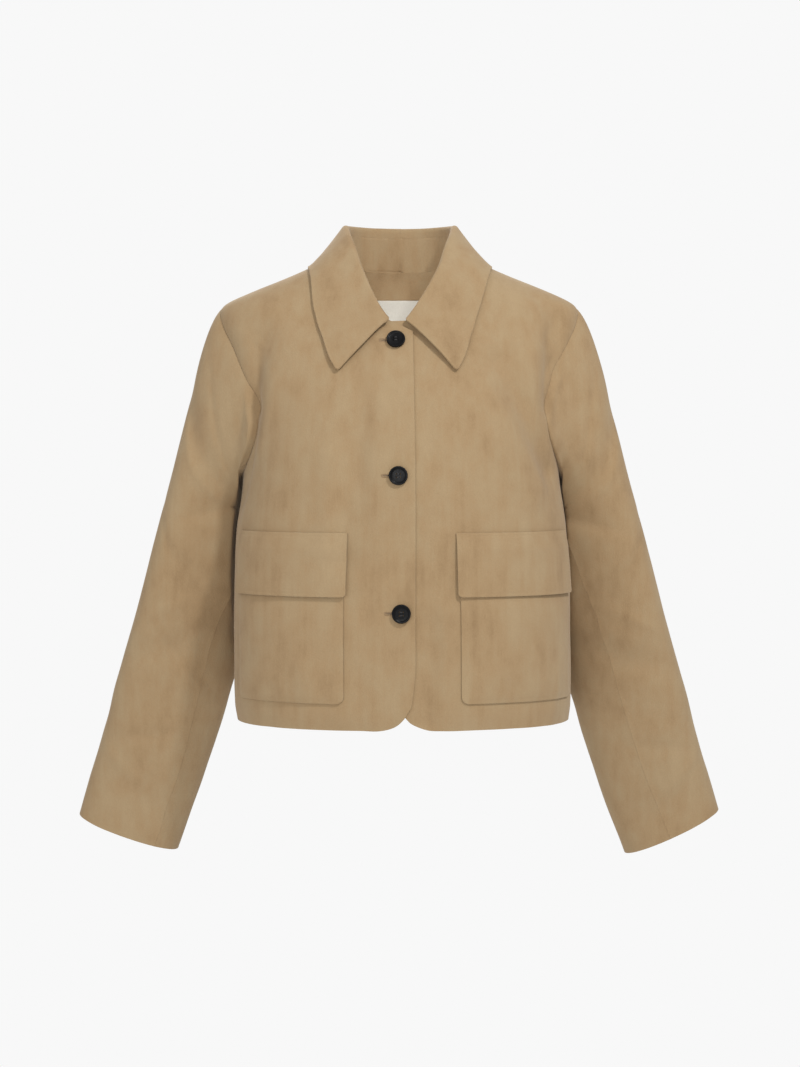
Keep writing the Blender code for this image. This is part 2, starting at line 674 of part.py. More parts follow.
def build_front(name, side, material):
    """One front. side is -1 for the wearer's right, which laps on top."""
    angles = [LAP_ANGLE, *RIGHT_FRONT_ANGLES] if side < 0 else list(LEFT_FRONT_ANGLES)
    seam_end = SIDE_SEAM_ANGLE - SEAM_ANGLE

    def edge_place(height):
        inset = 0.0
        if height < LAP_CORNER_HEIGHT:
            inset = corner_place(corner_share(height, 1))[0]
        x = front_edge_x(side, height) + side * inset
        return side * angle_across(x, height), height

    def hem_place(angle):
        inset = abs(form_point(side * angle, HEM_HEIGHT).x - front_edge_x(side, HEM_HEIGHT))
        height = HEM_HEIGHT
        if inset < LAP_CORNER_REACH:
            height = corner_place(corner_share(inset, 0))[1]
        return angle, height

    first_inset = abs(form_point(side * angles[0], HEM_HEIGHT).x - front_edge_x(side, HEM_HEIGHT))
    start_inset, start_height = corner_place(corner_share(0.5 * first_inset, 0))
    start_x = front_edge_x(side, start_height) + side * start_inset
    hem_start = (side * angle_across(start_x, start_height), start_height)
    lower = [[hem_start] + [hem_place(angle) for angle in angles] + [(seam_end, HEM_HEIGHT)]]
    for height in ROWS_BELOW_ARMHOLE[1:]:
        lower.append([edge_place(height)] + [(a, height) for a in angles] + [(seam_end, height)])

    neck_angles = [side * angle_across(front_edge_x(side, NECK_EDGE_HEIGHT), NECK_EDGE_HEIGHT)]
    if side < 0:
        neck_angles.append(0.5 * (neck_angles[0] + FRONT_NECK_ANGLES[0]))
    neck_angles += FRONT_NECK_ANGLES
    top = neck_and_shoulder(neck_angles, 90.0 - SHOULDER_SEAM_ANGLE)
    if side < 0:
        for column, drop in enumerate(LAP_NECK_DROPS):
            top[column] = (top[column][0], top[column][1] - drop)
    left = [
        edge_place(height)
        for height in steps(UNDERARM_HEIGHT, top[0][1], ARMHOLE_STEPS)
    ]
    left[-1] = top[0]
    right = armhole_edge(FRONT_ARMHOLE, -1)
    upper = filled_patch(lower[-1], top, left, right)
    places = [[(side * a, height) for a, height in row] for row in lower[:-1] + upper]

    def lift(place):
        return lap_lift(form_point(*place).x) if side < 0 else 0.0

    sheet = sheet_on_body(places, lift)
    add_wall(name, material, sheet, WALL)
    return sheet


def build_back(material):
    seam_start = SIDE_SEAM_ANGLE + SEAM_ANGLE
    lower = [
        [(angle, height) for angle in BACK_ANGLES] + [(seam_start, height)]
        for height in ROWS_BELOW_ARMHOLE
    ]
    neck_count = len(BACK_ANGLES) - BACK_SHOULDER_STEPS
    neck_angles = steps(180.0, 90.0 + SHOULDER_SEAM_ANGLE, neck_count)[:-1]
    top = neck_and_shoulder(neck_angles, 90.0 + SHOULDER_SEAM_ANGLE)
    centre = [(180.0, height) for height in steps(UNDERARM_HEIGHT, top[0][1], ARMHOLE_STEPS)]
    upper = filled_patch(lower[-1], top, centre, armhole_edge(BACK_ARMHOLE, 1))
    places = [
        list(reversed(row)) + [(360.0 - angle, height) for angle, height in row[1:]]
        for row in lower[:-1] + upper
    ]
    sheet = sheet_on_body(places, lambda place: 0.0)
    add_wall("back", material, sheet, WALL)
    return sheet


# ------------------------------------------------------------------ sleeves
class Ring:
    """The armhole as a closed row of points, from the shoulder tip by the front."""

    def __init__(self, front, back, side):
        front_column = -1
        back_column = 0 if side > 0 else -1
        rows = range(len(front.points) - 1, len(front.points) - 2 - ARMHOLE_STEPS, -1)
        self.points = []
        self.normals = []
        for r in rows:
            self.points.append(front.points[r][front_column])
            self.normals.append(front.normals[r][front_column])
        for r in reversed(rows):
            self.points.append(back.points[r][back_column])
            self.normals.append(back.normals[r][back_column])
        middle = ARMHOLE_STEPS
        self.merge(middle, middle + 1)
        self.merge(0, -1)

    def merge(self, keep, drop):
        """Join the two panels' corners at a seam into the point between them."""
        self.points[keep] = (self.points[keep] + self.points[drop]) * 0.5
        self.normals[keep] = (self.normals[keep] + self.normals[drop]).normalized()
        del self.points[drop]
        del self.normals[drop]

    def at(self, angle_degrees):
        """Point and normal of the ring at 0 (shoulder tip) to 360 degrees."""
        position = (angle_degrees % 360.0) / RING_STEP
        count = len(self.points)
        low = int(position) % count
        high = (low + 1) % count
        share = position - int(position)
        normal = self.normals[low].lerp(self.normals[high], share).normalized()
        return self.points[low].lerp(self.points[high], share), normal

    def start(self, angle_degrees):
        """Where the sleeve starts: a seam's width off the panels, with their normal."""
        point, normal = self.at(angle_degrees)
        run = self.at(angle_degrees + RING_STEP / 2)[0] - self.at(angle_degrees - RING_STEP / 2)[0]
        off_edge = run.cross(normal).normalized()
        middle = sum(self.points, Vector()) / len(self.points)
        if off_edge.dot(middle - point) < 0:
            off_edge = -off_edge
        return point + off_edge * ARMHOLE_SEAM, normal, off_edge


class Sleeve:
    """A whole sleeve as a surface: share 0 at the armhole, 1 at the cuff."""

    def __init__(self, side, ring):
        self.side = side
        self.ring = ring
        self.word = "left" if side > 0 else "right"
        self.seams = Profile(SLEEVE_SEAMS)
        lengths = [0.0]
        for before, after in zip(SLEEVE_SECTIONS, SLEEVE_SECTIONS[1:]):
            run = Vector(after[:3]) - Vector(before[:3])
            lengths.append(lengths[-1] + run.length)
        self.shares = [length / lengths[-1] for length in lengths]

    def value(self, share, name):
        return curve_value(self.shares, [getattr(row, name) for row in SLEEVE_SECTIONS], share)

    def centre(self, share):
        names = ("centre_x", "centre_y", "height")
        return Vector([self.value(share, name) for name in names])

    def lower_point(self, share, angle_degrees):
        """Point below the biceps, worked out on the left and mirrored."""
        angle_degrees -= SLEEVE_TWIST * (1.0 - smooth_step(share))
        along = self.centre(min(share + SHARE_NUDGE, 1.0))
        along -= self.centre(max(share - SHARE_NUDGE, 0.0))
        along.normalize()
        turn = radians(self.value(share, "turn"))
        below_start = (share - CUFF_SLANT_START) / (1.0 - CUFF_SLANT_START)
        hang = self.side * CUFF_SLANT_OFFSET * smooth_step(below_start)
        slant = radians(self.value(share, "slant") + hang)
        outward = Vector((cos(turn) * cos(slant), -sin(turn) * cos(slant), sin(slant)))
        forward = along.cross(outward).normalized()
        angle = radians(angle_degrees)
        radius = section_radius(angle, SLEEVE_FULLNESS)
        point = self.centre(share)
        point += outward * (self.value(share, "half_width") * radius * cos(angle))
        point += forward * (self.value(share, "half_depth") * radius * sin(angle))
        point = clear_of_body(point, SLEEVE_CLEARANCE)
        return Vector((self.side * point.x, point.y, point.z))

    def cap_point(self, share, angle_degrees):
        """Sleeve head: a curve from the armhole to the top of the lower sleeve."""
        start = self.ring.start(angle_degrees)[0]
        end = self.lower_point(0.0, angle_degrees)
        gap = (end - start).length
        end_run = (self.lower_point(SHARE_NUDGE, angle_degrees) - end).normalized() * gap
        push = min(1.0, gap / CAP_FULL_GAP)
        spread = mix(CAP_UNDERARM_SPREAD, 1.0, cos(radians(0.5 * angle_degrees)) ** 2)
        start_run = Vector((self.side * CAP_OUTWARD * spread, 0.0, -CAP_DOWNWARD)) * push
        point = start * (2 * share ** 3 - 3 * share ** 2 + 1)
        point += start_run * (share ** 3 - 2 * share ** 2 + share)
        point += end * (-2 * share ** 3 + 3 * share ** 2)
        point += end_run * (share ** 3 - share ** 2)
        mirrored = Vector((self.side * point.x, point.y, point.z))
        reach = smooth_step(share / CAP_CLEAR_SHARE)
        softness = CLEAR_SOFTNESS * max(reach, CAP_LEAST_SOFTNESS)
        cleared = clear_of_body(mirrored, SLEEVE_CLEARANCE * reach, softness)
        cleared.x *= self.side
        return point.lerp(cleared, smooth_step(share / CAP_SEAM_SHARE))

    def point(self, share, angle_degrees):
        below = (share - CAP_SHARE) / (1.0 - CAP_SHARE)
        if below >= 0.0:
            point = self.lower_point(below, angle_degrees)
        else:
            point = self.cap_point(share / CAP_SHARE, angle_degrees)
        return point + self.fold_push(share, max(below, 0.0), angle_degrees)

    def fold_push(self, share, below, angle_degrees):
        """Folds press the sleeve in towards its centre line."""
        total = 0.0
        for fold in SLEEVE_FOLDS:
            around = wrapped(angle_degrees - fold.angle)
            along = share - fold.share - fold.slope * radians(around) - self.side * FOLD_STAGGER
            total += fold.depth * exp(-(along / fold.width) ** 2 - (around / fold.reach) ** 2)
        angle = radians(angle_degrees)
        turn = radians(self.value(below, "turn"))
        outward = Vector((self.side * cos(turn), -sin(turn), 0.0))
        forward = Vector((-self.side * sin(turn), -cos(turn), 0.0))
        return (outward * cos(angle) + forward * sin(angle)) * total * smooth_step(share / SLEEVE_FOLD_FADE)

    def normal(self, share, angle_degrees):
        """Outward normal, taken over a wide patch so that it turns gently at creases."""
        above = self.point(max(share - NORMAL_SHARE_STEP, 0.0), angle_degrees)
        below = self.point(min(share + NORMAL_SHARE_STEP, 1.0), angle_degrees)
        before = self.point(share, angle_degrees - NORMAL_ANGLE_STEP)
        after = self.point(share, angle_degrees + NORMAL_ANGLE_STEP)
        return (after - before).cross(below - above).normalized() * self.side

    def sheet(self, first_angle, last_angle, columns):
        """Sheet between two seams, each given as a function of the share."""
        points = []
        normals = []
        shares = steps(0.0, CAP_SHARE, CAP_ROWS) + steps(CAP_SHARE, 1.0, SLEEVE_ROWS)[1:]
        for share in shares:
            point_row = []
            normal_row = []
            for position in steps(0.0, 1.0, columns):
                angle = mix(first_angle(share), last_angle(share), position)
                normal = self.normal(share, angle)
                if share == 0.0:
                    normal = self.seam_normal(angle, normal)
                point_row.append(self.point(share, angle))
                normal_row.append(normal)
            points.append(point_row)
            normals.append(normal_row)
        return Sheet(points, normals)

    def seam_normal(self, angle_degrees, sleeve_normal):
        """Normal at the armhole that keeps the sleeve's wall off the panels' wall."""
        panel_normal, off_edge = self.ring.start(angle_degrees)[1:]
        shared = panel_normal + sleeve_normal
        shared -= off_edge * max(shared.dot(off_edge), 0.0)
        return shared.normalized()

    def build(self, material):
        gap = degrees(0.5 * SEAM / SLEEVE_SEAM_RADIUS)
        front = "front_" + self.word

        def front_seam(share):
            return self.seams.at(share, front)

        def back_seam(share):
            return self.seams.at(share, "back")

        top_columns = round((360.0 + front_seam(0.0) - back_seam(0.0)) / RING_STEP)
        under_columns = round((back_seam(0.0) - front_seam(0.0)) / RING_STEP)
        top = self.sheet(
            lambda share: back_seam(share) - 360.0 + gap,
            lambda share: front_seam(share) - gap,
            top_columns,
        )
        under = self.sheet(
            lambda share: front_seam(share) + gap,
            lambda share: back_seam(share) - gap,
            under_columns,
        )
        add_wall(f"sleeve_{self.word}_top", material, top, WALL)
        add_wall(f"sleeve_{self.word}_under", material, under, WALL)


# ------------------------------------------------------------------- collar
COLLAR = Profile(COLLAR_STATIONS)


def collar_shift(height):
    """The collar's front leans to the side with the button line."""
    share = (COLLAR_SHIFT_START - height) / (COLLAR_SHIFT_START - COLLAR_SHIFT_END)
    return COLLAR_SHIFT * smooth_step(share)


def neck_vertices(right, left, back):
    """The panels' neckline points as (signed angle, point, normal), end to end."""
    back_count = len(BACK_ANGLES) - BACK_SHOULDER_STEPS
    middle = len(BACK_ANGLES)

    def vertex(sheet, column):
        angle = wrapped(sheet.places[-1][column][0])
        return angle, sheet.points[-1][column], sheet.normals[-1][column]

    def joined(one, other):
        normal = (one[2] + other[2]).normalized()
        return 0.5 * (one[0] + other[0]), (one[1] + other[1]) * 0.5, normal

    def front_line(sheet, first):
        shoulder = len(sheet.points[-1]) - 1 - FRONT_SHOULDER_STEPS
        return [vertex(sheet, column) for column in range(first, shoulder + 1)]

    right_line = front_line(right, 2)
    left_line = front_line(left, 1)
    back_line = [vertex(back, c) for c in range(middle + back_count, middle - back_count - 1, -1)]
    line = right_line[:-1] + [joined(right_line[-1], back_line[0])] + back_line[1:-1]
    return line + [joined(left_line[-1], back_line[-1])] + list(reversed(left_line[:-1]))


def collar_stations(line):
    """Stations at the neckline's vertices and halfway between each two."""
    stations = [line[0]]
    for before, after in zip(line, line[1:]):
        turn = before[0] + 0.5 * wrapped(after[0] - before[0])
        point = (before[1] + after[1]) * 0.5
        normal = (before[2] + after[2]).normalized()
        stations += [(wrapped(turn), point, normal), after]
    return stations


class CollarStrip:
    """One strip of the collar, across it: up the stand, over the fold, down the leaf.

    Points lie on the napped side. Up the stand that is the side next to the neck.
    """

    def __init__(self, station):
        angle, neck, normal = station
        self.side = 1.0 if angle >= 0 else -1.0
        around = abs(angle)
        fold = Vector([COLLAR.at(around, name) for name in ("fold_x", "fold_y", "fold_z")])
        fold.x = self.side * fold.x + collar_shift(fold.z)
        if self.side < 0:
            fold.y -= lap_lift(neck.x)
        self.neck = neck
        self.neck_normal = normal
        self.neck_place = (around, NECK.at(around, "height"))
        self.edge_place = (COLLAR.at(around, "edge_angle"), COLLAR.at(around, "edge_z"))
        self.standoff = COLLAR.at(around, "standoff")
        self.roll = COLLAR.at(around, "roll")
        self.rise = (fold - neck).normalized()
        towards_edge = self.on_form(1.0) - fold
        self.away = (towards_edge - self.rise * towards_edge.dot(self.rise)).normalized()
        self.centre = fold - self.rise * self.roll
        self.seat = neck + self.rise * NECK_SEAM
        self.inner_top = self.centre - self.away * self.roll

    def on_form(self, share):
        """Point off the body on the way from the neck seam (0) to the leaf's edge (1)."""
        angle = self.side * mix(self.neck_place[0], self.edge_place[0], share)
        height = mix(self.neck_place[1], self.edge_place[1], share)
        point = form_point(angle, height)
        lift = self.standoff
        if self.side < 0:
            lift += lap_lift(point.x)
        point += form_normal(angle, height) * lift
        point.x += collar_shift(height) * share
        return point

    def on_roll(self, turn):
        around = self.rise * sin(turn) - self.away * cos(turn)
        return self.centre + around * self.roll, around

    def on_leaf(self, share, roll_end):
        """Point on the leaf, which leaves the fold and settles on to the body."""
        offset = roll_end - self.on_form(0.0)
        return self.on_form(share) + offset * (1.0 - share) ** LEAF_SETTLING

    def stand(self):
        end = self.seat.lerp(self.inner_top, STAND_SHARE)
        return [(self.seat.lerp(end, share), -self.away) for share in steps(0.0, 1.0, STAND_ROWS)]

    def fall(self):
        up = (self.inner_top - self.seat).normalized()
        first = self.seat.lerp(self.inner_top, STAND_SHARE) + up * SEAM
        last_turn = radians(FIRST_ROLL_TURN)
        for _ in range(ROLL_FITS):
            roll_end = self.on_roll(last_turn)[0]
            run = self.on_leaf(LEAF_START_SHARE, roll_end) - roll_end
            last_turn = atan2(run.dot(self.away), run.dot(self.rise)) % (2.0 * pi)
        path = [(first, -self.away)]
        path += [self.on_roll(turn) for turn in steps(0.0, last_turn, ROLL_STEPS)]
        roll_end = path[-1][0]
        path += [(self.on_leaf(share, roll_end), None) for share in steps(0.0, 1.0, FALL_ROWS)[1:]]
        return path


def build_collar(material, line):
    strips = [CollarStrip(station) for station in collar_stations(line)]
    add_wall("collar_stand", material, sheet_from_strips([strip.stand() for strip in strips]), COLLAR_WALL)
    add_wall("collar_fall", material, sheet_from_strips([strip.fall() for strip in strips]), COLLAR_WALL)


def sheet_from_strips(strips):
    """Sheet through strips of (point, normal); a normal left open comes from the grid."""
    points = [[point for point, _ in strip] for strip in strips]
    from_grid = sheet_from_grid(points).normals
    normals = [
        [normal or open_normal for (_, normal), open_normal in zip(strip, grid_row)]
        for strip, grid_row in zip(strips, from_grid)
    ]
    return Sheet(points, normals)


def sheet_from_grid(grid):
    """Sheet whose normals come from its own points, out on the napped side."""
    last_row = len(grid) - 1
    last_column = len(grid[0]) - 1
    normals = []
    for r in range(last_row + 1):
        row = []
        for c in range(last_column + 1):
            across = grid[min(r + 1, last_row)][c] - grid[max(r - 1, 0)][c]
            along = grid[r][min(c + 1, last_column)] - grid[r][max(c - 1, 0)]
            row.append(across.cross(along).normalized())
        normals.append(row)
    return Sheet(grid, normals)


# ----------------------------------------------------- pieces on the panels
def rounded_corners(sheet, panel, lift, corner):
    """Draw the two lowest corners of a patch in, to round them."""
    row = sheet.places[0]
    for end, inward in ((0, 1), (-1, -2)):
        toward = 1.0 if row[inward][0] > row[end][0] else -1.0
        place = (
            row[end][0] + toward * degrees(corner / FOLD_SCALE),
            row[end][1] + corner,
        )
        point, normal = panel.on_facets(place)
        sheet.places[0][end] = place
        sheet.points[0][end] = point + normal * lift(place)
        sheet.normals[0][end] = normal


def build_pocket(side, panel, material):
    word = "left" if side > 0 else "right"
    angles = LEFT_FRONT_ANGLES if side > 0 else RIGHT_FRONT_ANGLES
    outer_angle = LEFT_POCKET_OUTER_ANGLE if side > 0 else RIGHT_POCKET_OUTER_ANGLE
    first = angles.index(POCKET_INNER_ANGLE) + (2 if side < 0 else 1)
    last = angles.index(outer_angle) + (2 if side < 0 else 1)
    columns = range(first, last + 1)
    middle = 0.5 * (POCKET_INNER_ANGLE + outer_angle)
    half = 0.5 * (outer_angle - POCKET_INNER_ANGLE)

    def pocket_lift(place):
        across = max(1.0 - ((abs(place[0]) - middle) / half) ** 4, 0.0)
        up = (place[1] - POCKET_BOTTOM) / (FLAP_BOTTOM - POCKET_BOTTOM)
        swell = max(1.0 - (2.0 * min(up, 1.0) - 1.0) ** 4, 0.0)
        return SEAM + POCKET_WALL + POCKET_BULGE * across * swell

    def flap_lift(place):
        down = (FLAP_TOP - place[1]) / (FLAP_TOP - FLAP_BOTTOM)
        over_pocket = min((FLAP_TOP - place[1]) / (FLAP_TOP - POCKET_TOP), 1.0)
        step = (POCKET_WALL + SEAM) * over_pocket
        return SEAM + FLAP_WALL + step + FLAP_FLARE * down ** 2

    def rows(bottom, top):
        low = ROWS_BELOW_ARMHOLE.index(bottom)
        return range(low, ROWS_BELOW_ARMHOLE.index(top) + 1)

    pocket = panel.block(rows(POCKET_BOTTOM, POCKET_TOP), columns, pocket_lift)
    rounded_corners(pocket, panel, pocket_lift, POCKET_CORNER)
    add_wall("pocket_" + word, material, pocket, POCKET_WALL)

    flap = panel.block(rows(FLAP_BOTTOM, FLAP_TOP), columns, flap_lift)
    for r, row in enumerate(flap.places):
        corner = FLAP_CORNER if r == 0 else 0.0
        before = (row[0][0] - side * FLAP_OVERHANG_ANGLE, row[0][1] + corner)
        after = (row[-1][0] + side * FLAP_OVERHANG_ANGLE, row[-1][1] + corner)
        for end, place in ((0, before), (len(row) + 1, after)):
            point, normal = panel.on_facets(place)
            flap.points[r].insert(end, point + normal * flap_lift(place))
            flap.normals[r].insert(end, normal)
    add_wall("flap_" + word, material, Sheet(flap.points, flap.normals), FLAP_WALL)


def build_neck_inside(back, suede, label_weave):
    """Facing inside the back of the neck, and the label on it."""
    neck_columns = len(BACK_ANGLES) - BACK_SHOULDER_STEPS
    middle = len(BACK_ANGLES)
    columns = range(middle - neck_columns + 1, middle + neck_columns)
    last = len(back.points) - 1
    facing = back.block(range(last - FACING_ROWS, last + 1), columns, lambda place: -(WALL + SEAM))
    add_wall("back_neck_facing", suede, facing, FACING_WALL)

    points = []
    normals = []
    for height in steps(LABEL_TOP - LABEL_DEPTH, LABEL_TOP, 3):
        point_row = []
        normal_row = []
        for x in steps(-LABEL_HALF_WIDTH, LABEL_HALF_WIDTH, 6):
            turn = angle_across(x + TORSO.at(height, "sideways"), height)
            point, normal = facing.on_facets((180.0 - turn, height))
            point_row.append(point - normal * (FACING_WALL + SEAM))
            normal_row.append(normal)
        points.append(point_row)
        normals.append(normal_row)
    add_wall("neck_label", label_weave, Sheet(points, normals), LABEL_WALL)


# ------------------------------------------------------------------ buttons
def button_mesh(name):
    """A dished disc with a raised rim, lying in the XY plane with its back at z = 0."""
    outline = (
        (BUTTON_RADIUS - BUTTON_EDGE_ROUND, 0.0),
        (BUTTON_RADIUS, BUTTON_EDGE_ROUND),
        (BUTTON_RADIUS, BUTTON_THICKNESS - BUTTON_EDGE_ROUND),
        (BUTTON_RADIUS - BUTTON_RIM_ROUND, BUTTON_THICKNESS),
        (BUTTON_RADIUS - BUTTON_RIM, BUTTON_THICKNESS - BUTTON_RIM_FALL),
        (BUTTON_RADIUS - BUTTON_RIM - BUTTON_RIM_SLOPE, BUTTON_THICKNESS - BUTTON_DISH),
    )
    shape = bmesh.new()
    rings = []
    for radius, height in outline:
        ring = []
        for i in range(BUTTON_SIDES):
            angle = 2.0 * pi * i / BUTTON_SIDES
            ring.append(shape.verts.new((radius * cos(angle), radius * sin(angle), height)))
        rings.append(ring)
    for lower, upper in zip(rings, rings[1:]):
        for i in range(BUTTON_SIDES):
            j = (i + 1) % BUTTON_SIDES
            shape.faces.new((lower[i], lower[j], upper[j], upper[i]))
    shape.faces.new(list(reversed(rings[0])))
    shape.faces.new(rings[-1])
    mesh = bpy.data.meshes.new(name)
    shape.to_mesh(mesh)
    shape.free()
    face_outwards(mesh)
    return mesh


def hole_cutter(name):
    """Four round pins that pass through a button."""
    shape = bmesh.new()
    half = 0.5 * BUTTON_HOLE_SPACING
    for x in (-half, half):
        for y in (-half, half):
            place = Matrix.Translation((x, y, 0.5 * BUTTON_THICKNESS))
            bmesh.ops.create_cone(
                shape, cap_ends=True, segments=BUTTON_HOLE_SIDES, radius1=BUTTON_HOLE_RADIUS,
                radius2=BUTTON_HOLE_RADIUS, depth=3.0 * BUTTON_THICKNESS, matrix=place,
            )
    mesh = bpy.data.meshes.new(name)
    shape.to_mesh(mesh)
    shape.free()
    cutter = bpy.data.objects.new(name, mesh)
    bpy.context.scene.collection.objects.link(cutter)
    cutter.hide_render = True
    cutter.display_type = "WIRE"
    return cutter


def build_button(name, height, material):
    x = EDGE.at(height, "button_line")
    angle = angle_across(x, height)
    normal = form_normal(angle, height)
    place = skin_point(angle, height, lap_lift(x) + BUTTON_REST)
    turn = Vector((0.0, 0.0, 1.0)).rotation_difference(normal).to_matrix().to_4x4()
    piece = add_object(name, button_mesh(name), material)
    piece.matrix_world = Matrix.Translation(place) @ turn
    cutter = hole_cutter(name + "_holes")
    cutter.matrix_world = piece.matrix_world
    cut = piece.modifiers.new("thread_holes", "BOOLEAN")
    cut.operation = "DIFFERENCE"
    cut.solver = "EXACT"
    cut.object = cutter
    return piece


def main():
    for old in list(bpy.data.objects):
        bpy.data.objects.remove(old, do_unlink=True)
    suede = make_material("suede", SUEDE_COLOUR, 0.9)
    label_weave = make_material("label_weave", LABEL_COLOUR, 0.8)
    button_black = make_material("button_black", BUTTON_COLOUR, 0.35)
    fronts = {-1: build_front("front_right", -1, suede), 1: build_front("front_left", 1, suede)}
    back = build_back(suede)
    for side, front in fronts.items():
        Sleeve(side, Ring(front, back, side)).build(suede)
        build_pocket(side, front, suede)
    build_collar(suede, neck_vertices(fronts[-1], fronts[1], back))
    build_neck_inside(back, suede, label_weave)
    for name, height in BUTTON_HEIGHTS.items():
        build_button(name, height, button_black)


main()
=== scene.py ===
"""Finished surface of a cropped suede jacket: fine shells, stitches, buttons and finishes.

Every shell is worked out from the same tables as the solid it covers, on a
closer grid, with soft creases and rounded edges. Right and left are the
wearer's. Metres, +Z up, +X to the wearer's left, +Y to the back.
"""

from __future__ import annotations

import logging
import math
from dataclasses import dataclass, field
from enum import Enum
from typing import Callable, NamedTuple, Sequence

import bmesh
import bpy
import numpy as np
from mathutils import Matrix, Vector

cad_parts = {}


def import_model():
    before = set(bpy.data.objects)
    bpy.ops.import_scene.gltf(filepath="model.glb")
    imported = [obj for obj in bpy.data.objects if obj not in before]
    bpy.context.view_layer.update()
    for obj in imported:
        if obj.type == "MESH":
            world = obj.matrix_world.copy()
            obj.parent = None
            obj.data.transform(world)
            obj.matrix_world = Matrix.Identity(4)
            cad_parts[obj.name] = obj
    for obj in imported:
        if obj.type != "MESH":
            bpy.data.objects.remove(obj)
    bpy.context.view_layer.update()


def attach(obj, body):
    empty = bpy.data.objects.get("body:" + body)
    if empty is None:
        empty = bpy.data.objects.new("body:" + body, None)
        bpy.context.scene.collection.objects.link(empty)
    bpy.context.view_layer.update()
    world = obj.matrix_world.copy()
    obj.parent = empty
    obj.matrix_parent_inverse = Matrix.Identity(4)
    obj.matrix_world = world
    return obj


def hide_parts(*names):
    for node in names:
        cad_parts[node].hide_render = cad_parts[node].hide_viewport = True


LOG = logging.getLogger("suede_jacket")
Array = np.ndarray
Mesh, Material, Object = bpy.types.Mesh, bpy.types.Material, bpy.types.Object
Socket, Node, NodeTree = bpy.types.NodeSocket, bpy.types.Node, bpy.types.NodeTree
Triple = tuple[float, float, float]
Colour = Triple

# ----------------------------------------------------------------- garment sizes
WALL = 0.0018
COLLAR_WALL = 0.0022
FLAP_WALL = 0.0020
POCKET_WALL = 0.0018
FACING_WALL = 0.0012
LABEL_WALL = 0.0010
SEAM = 0.0003
UNDERLAP_ROOM = 0.0006
HEM_HEIGHT = -0.508
SHOULDER_TIP_HEIGHT = -0.057
UNDERARM_HEIGHT = -0.243
SIDE_SEAM_ANGLE = 95.0
LAP_CORNER_HEIGHT = -0.460
LAP_CORNER_REACH = 0.041
LAP_CORNER_HANDLE = 0.004
UNDERLAP_WIDTH = 0.009
LAP_NECK_DROPS = (0.0120, 0.0050)
LAP_RAMP_START = -0.048
LAP_RAMP_END = -0.020
POCKET_INNER_ANGLE = 19.0
LEFT_POCKET_OUTER_ANGLE = 71.0
RIGHT_POCKET_OUTER_ANGLE = 66.0
POCKET_TOP = -0.318
POCKET_BOTTOM = -0.480
POCKET_BULGE = 0.0028
FLAP_TOP = -0.301
FLAP_BOTTOM = -0.368
FLAP_OVERHANG_ANGLE = 0.9
FLAP_FLARE = 0.0014
BUTTON_HEIGHTS = {"button_top": -0.0983, "button_middle": -0.241, "button_bottom": -0.385}
LABEL_TOP = -0.044
LABEL_DEPTH = 0.044
LABEL_HALF_WIDTH = 0.031
STAND_SHARE = 0.86
CAP_SHARE = 0.34
SLEEVE_CLEARANCE = 0.0030
SLEEVE_FULLNESS = 2.15
SLEEVE_TWIST = 40.0
ARMHOLE_SEAM = 0.0004
ARMHOLE_SCALE = 0.12
CLEAR_SOFTNESS = 0.004
NECK_FADE = 5
NECK_SEAM = 0.0003
FOLD_SCALE = 0.155
FOLD_STAGGER = 0.012
CAP_OUTWARD = 0.062
CAP_DOWNWARD = 0.042
CAP_FULL_GAP = 0.12
CAP_UNDERARM_SPREAD = 0.45
CUFF_SLANT_OFFSET = 2.6
COLLAR_SHIFT_START = -0.012
COLLAR_SHIFT_END = -0.080
COLLAR_SHIFT = -0.0032
LEAF_SETTLING = 1.4
FIRST_ROLL = math.radians(150.0)
SIDE_RADIUS = 0.170
SHOULDER_RADIUS = 0.045
SEAM_ANGLE = math.degrees(0.5 * SEAM / SIDE_RADIUS)
SHOULDER_SEAM_ANGLE = math.degrees(0.5 * SEAM / SHOULDER_RADIUS)
NECK_EDGE_HEIGHT = -0.075
FLAP_WAVE = 0.0005
FLAP_WAVES = 7.0
FLAP_WAVE_START = 40.0
FOLD_FADE = 0.05
WAVE_FADE = 0.03
ROW_FADE = 3
SHOULDER_BLEND = 0.85
ARMHOLE_END = 0.1
WORDS = {-1: "right", 1: "left"}

# ------------------------------------------------------------- measuring and shading
NORMAL_TURN = 0.4
NORMAL_RISE = 0.001
NORMAL_ROOM = 0.0012
SIDE_LIMIT = 0.9995
CREASE_ANGLE = math.radians(50.0)
CORNER_POINTS = 4001
RISE_POINTS = 200
LEAST_FILL = 0.31
NOISE_MIDDLE = (0.3, 0.7)
LATTICE_PRIMES = np.array([73856093, 19349663, 83492791])
SEED_PRIME = 2654435761
MIXING_PRIME = 1274126177
LATTICE_MASK = 0x7FFFFFFF


# ------------------------------------------------------------------------ tables
def table(kind: type, rows: Sequence[tuple]) -> tuple:
    """Named rows of one kind."""
    return tuple(kind(*row) for row in rows)


class TorsoSection(NamedTuple):
    """One level section of the body form."""

    height: float
    half_width: float
    front_depth: float
    back_depth: float
    fullness: float
    sideways: float


